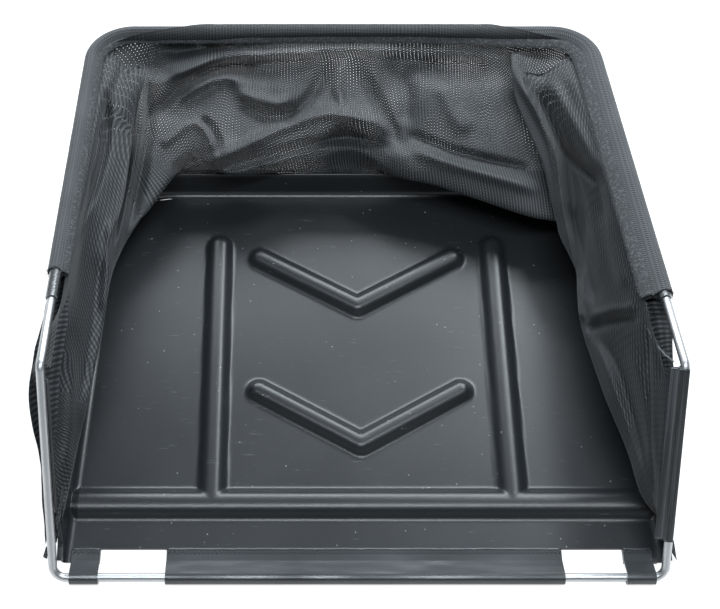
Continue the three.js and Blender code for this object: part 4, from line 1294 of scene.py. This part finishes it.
def top_edge(side, hang, inward):
    """Where the mesh leaves its top line: the sewn edge of the sleeve, or the flat of a clip strip."""
    along_leg = hang[:, 1] < FRONT_Y + BEND_SETBACK
    reach = np.where(along_leg, STRIP_SEWN, sleeve_tail(hang[:, 0]) - 2)
    edge = hang + inward * reach[:, None]
    edge[:, 2] += np.where(along_leg, 0, -SLEEVE_DROP * SLEEVE_RADIUS)
    if side == "left":
        top = leg_frame(-1)[2]
        loose = hang + np.array((LOOSE_OUT, 0, 0)) - top * (LOOSE_DROP + STRIP_SEWN)
        edge = np.where(along_leg[:, None], loose, edge)
    return edge


def roll_over(hang, share):
    """The mesh where it is rolled over the rear bar, from where it comes into view to its inner side."""
    start = np.interp(share, list(ROLL_START), list(ROLL_START.values()))
    turns = np.radians(np.linspace(start, ROLL_END, ROLL_POINTS))
    return hang + ROLL_RADIUS * np.stack([0 * turns, np.cos(turns), np.sin(turns)], axis=-1)


def tucked_under(fold, base):
    """From the lowest fold back under it and over the rim of the tray."""
    near = lerp(fold, base, 0.1)
    near[2] = fold[2] - FOLD_SINK_UNDER
    far = lerp(fold, base, 0.55)
    far[2] = max(WALL_HEIGHT + RIM_CLEARANCE, lerp(fold[2], base[2], 0.7))
    return [near, far, base + np.array((0, 0, RIM_LIFT)), base]


def panel_surface(side):
    """Points of one side of the bag, column by column from the top edge to the lower margin."""
    columns = CLOTH_COLUMNS[side]
    shares = np.linspace(0, 1, columns)
    base, margin = (points_at(rim_part(side, wall_outside(z) + MARGIN_GAP, z), shares)
                    for z in (WALL_HEIGHT, WALL_HEIGHT - MARGIN_DEPTH))
    hang = points_at(top_part(side), shares)
    plan = smooth_at(INWARDS[side], shares)
    inward = unit(np.concatenate([plan, np.zeros((columns, 1))], axis=1))
    stations = STATIONS[side]
    profiles = [[photo_point(*point) for point in station] for station in stations.values()]
    folds = hermite(np.array(list(stations)), profiles, shares)
    edge = top_edge(side, hang, inward)
    surface = []
    for c in range(columns):
        start = roll_over(hang[c], shares[c]) if side == "back" else edge[c:c + 1]
        line = np.array([*start, *folds[c], *tucked_under(folds[c][-1], base[c])])
        lower = [lerp(base[c], margin[c], 0.5), margin[c]]
        surface.append(np.concatenate([curve_through(line, CLOTH_ROWS), lower]))
    return creased(np.array(surface))


def cloth_panel(side, grid, material):
    """One side of the bag as a sheet of cloth, with its flat size along its middle and down it."""
    u = lengths_along(grid[:, grid.shape[1] // 2])
    v = np.array([lengths_along(column) for column in grid])
    uvs = np.stack([u[:, None] - RIB_SLANT[side] * v, v], axis=-1).reshape(-1, 2) * MM
    piece = mesh_object(side + "_panel_cloth", grid.reshape(-1, 3), grid_faces(*grid.shape[:2]), uvs)
    finish_piece(piece, material, [side + "_panel"])


# Stage, light and camera

FLOOR_SIZE = 40000
FLOOR_DEPTH = 0.0004      # metres under the tray
FLOOR_WHITE = 0.82

# Studio round the object, as grey by direction: half turns from the rear horizon over the top
STUDIO = [(0.0, 0.62), (0.17, 0.55), (0.25, 0.16), (0.42, 0.14), (0.50, 0.30),
          (0.66, 0.22), (0.72, 0.05), (0.84, 0.05), (0.90, 0.45), (1.0, 0.55)]
STUDIO_LEVEL = 1.4
LIGHT_TINT = (0.88, 0.95, 1.0)
AMBIENT = 0.08

# Lamps: place and target in metres, size and power
LAMPS = {
    "strip": ((0.08, -0.36, 1.46), (0, 0, 0), (1.15, 0.15), 15),
    "spark": ((0.72, 0.92, 1.33), (0, 0.05, 0), (0.35, 0.35), 10),
    "rear": ((0.0, 1.35, 1.08), (0, 0.15, 0.05), (1.8, 0.6), 32),
}


def stage():
    """A floor that is white to the camera and to reflections, and keeps the object's shadow."""
    corners = [(x * FLOOR_SIZE, y * FLOOR_SIZE, 0) for x, y in ((-1, -1), (1, -1), (1, 1), (-1, 1))]
    floor = mesh_object("floor", corners, [(0, 1, 2, 3)], smooth=False)
    floor.location.z = -FLOOR_DEPTH
    n = Finish("floor")
    n.set(Base_Color=(0.5, 0.5, 0.5, 1), Roughness=0.9, Specular_IOR_Level=0.0, Emission_Color=(1, 1, 1, 1))
    rays = n.add("ShaderNodeLightPath").outputs
    seen = n.math("MAXIMUM", rays["Is Camera Ray"],
                  n.math("MAXIMUM", rays["Is Glossy Ray"], rays["Is Transmission Ray"]))
    n.drive("Emission Strength", n.times(seen, FLOOR_WHITE))
    floor.data.materials.append(n.material)


def world():
    """White to the camera; a soft studio of light and dark bands to reflections; even elsewhere."""
    scene_world = bpy.data.worlds.new("studio")
    scene_world.use_nodes = True
    bpy.context.scene.world = scene_world
    n = Nodes(scene_world.node_tree)
    background = n.add("ShaderNodeBackground")
    output = n.add("ShaderNodeOutputWorld")
    n.join(background.outputs["Background"], output.inputs["Surface"])
    _, y, z = n.parts(n.add("ShaderNodeTexCoord").outputs["Generated"])
    turn = n.times(n.math("ARCTAN2", n.math("MAXIMUM", z, 0.0), y), 1 / math.pi)
    bands = n.times(n.ramp(turn, STUDIO), STUDIO_LEVEL)
    rays = n.add("ShaderNodeLightPath").outputs
    seen = n.math("MAXIMUM", rays["Is Camera Ray"], rays["Is Transmission Ray"])
    mirrored = n.times(rays["Is Glossy Ray"], n.math("SUBTRACT", bands, AMBIENT))
    level = n.math("MAXIMUM", seen, n.math("ADD", mirrored, AMBIENT))
    n.join(level, background.inputs["Strength"])
    n.join(n.mix(seen, LIGHT_TINT, (1.0, 1.0, 1.0)), background.inputs["Color"])


def lamp(name, place, target, size, power):
    light = bpy.data.lights.new(name, "AREA")
    light.shape = "RECTANGLE"
    light.size, light.size_y = size
    light.energy = power
    light.color = LIGHT_TINT
    holder = bpy.data.objects.new(name, light)
    holder.location = place
    holder.rotation_euler = (Vector(target) - Vector(place)).to_track_quat("-Z", "Y").to_euler()
    bpy.context.scene.collection.objects.link(holder)


def camera():
    data = bpy.data.cameras.new("camera")
    data.sensor_fit = "HORIZONTAL"
    data.sensor_width = SENSOR
    data.lens = FOCAL_PIXELS * SENSOR / PHOTO_WIDTH
    data.shift_x = (PHOTO_WIDTH / 2 - CENTRE_PIXEL_X) / PHOTO_WIDTH
    eye = bpy.data.objects.new("camera", data)
    eye.location = [c * MM for c in CAMERA_PLACE]
    eye.rotation_euler = (math.radians(90 - CAMERA_PITCH), 0, 0)
    bpy.context.scene.collection.objects.link(eye)
    bpy.context.scene.camera = eye


def paint(node, material):
    """Gives a CAD node its detailed material."""
    piece = frame["nodes"][node]
    piece.data.materials.clear()
    piece.data.materials.append(material)


def build():
    bpy.context.scene.view_settings.view_transform = "Standard"
    stage()
    world()
    for name, settings in LAMPS.items():
        lamp(name, *settings)
    camera()
    vinyl = soft_vinyl()
    ridged = ridged_vinyl()
    cloth = mesh_fabric("mesh_fabric", BACK_SHEER, BACK_SPREAD, CREST_SHADE_TONE, 1.0)
    # painted shade: the side panels get a darkened copy of the mesh
    side_cloth = mesh_fabric("shaded_side_fabric", SIDE_SHEER, SIDE_SPREAD, 0.0, SIDE_SHADE)
    tray_shell(tray_plastic())
    wire_frame(drawn_metal("bright_wire", 420, 30, (0.42, 0.43, 0.44), (0.58, 0.59, 0.60), (0.34, 0.46)))
    tube_frame(drawn_metal("drawn_tube", 500, 40, (0.30, 0.31, 0.32), (0.46, 0.47, 0.48), (0.22, 0.34)))
    binding = knit_binding()
    sleeve_cloth(binding)
    fibre = thread("fibre", 0.05, 0.16)
    stray_fibres(fibre)
    for node in ("front_flap", "left_tab", "right_tab"):
        paint(node, vinyl)
    length = STRIP_INSET + STRIP_LENGTH - STRIP_TOP
    clip_strip("right_strip", 1, STRIP_TOP, length, np.zeros(3), 0, ridged)
    loose = np.array((LOOSE_OUT, 0, 0)) - LOOSE_DROP * leg_frame(-1)[2]
    clip_strip("left_strip", -1, LOOSE_INSET, LOOSE_LENGTH, loose, -math.pi / 2, ridged)
    stitches(thread("seam_thread", 0.006, 0.02))
    folded_edges(vinyl)
    hem_flap("hem_flap", HEM_INNER, HEM_OUTER, HEM_BULGE, side_cloth)
    hem_flap("left_hem_flap", LEFT_HEM_INNER, LEFT_HEM_OUTER, LEFT_HEM_BULGE, side_cloth)
    hem_cord(fibre)
    hem_tag("left_hem_tag", LEFT_TAG, binding)
    hem_tag("right_hem_tag", RIGHT_TAG, binding)
    back, left, right = (panel_surface(side) for side in ("back", "left", "right"))
    cloth_panel("left", np.concatenate([left, back[:1]]), side_cloth)
    cloth_panel("back", back, cloth)
    cloth_panel("right", np.concatenate([right, back[-1:]]), side_cloth)


build()
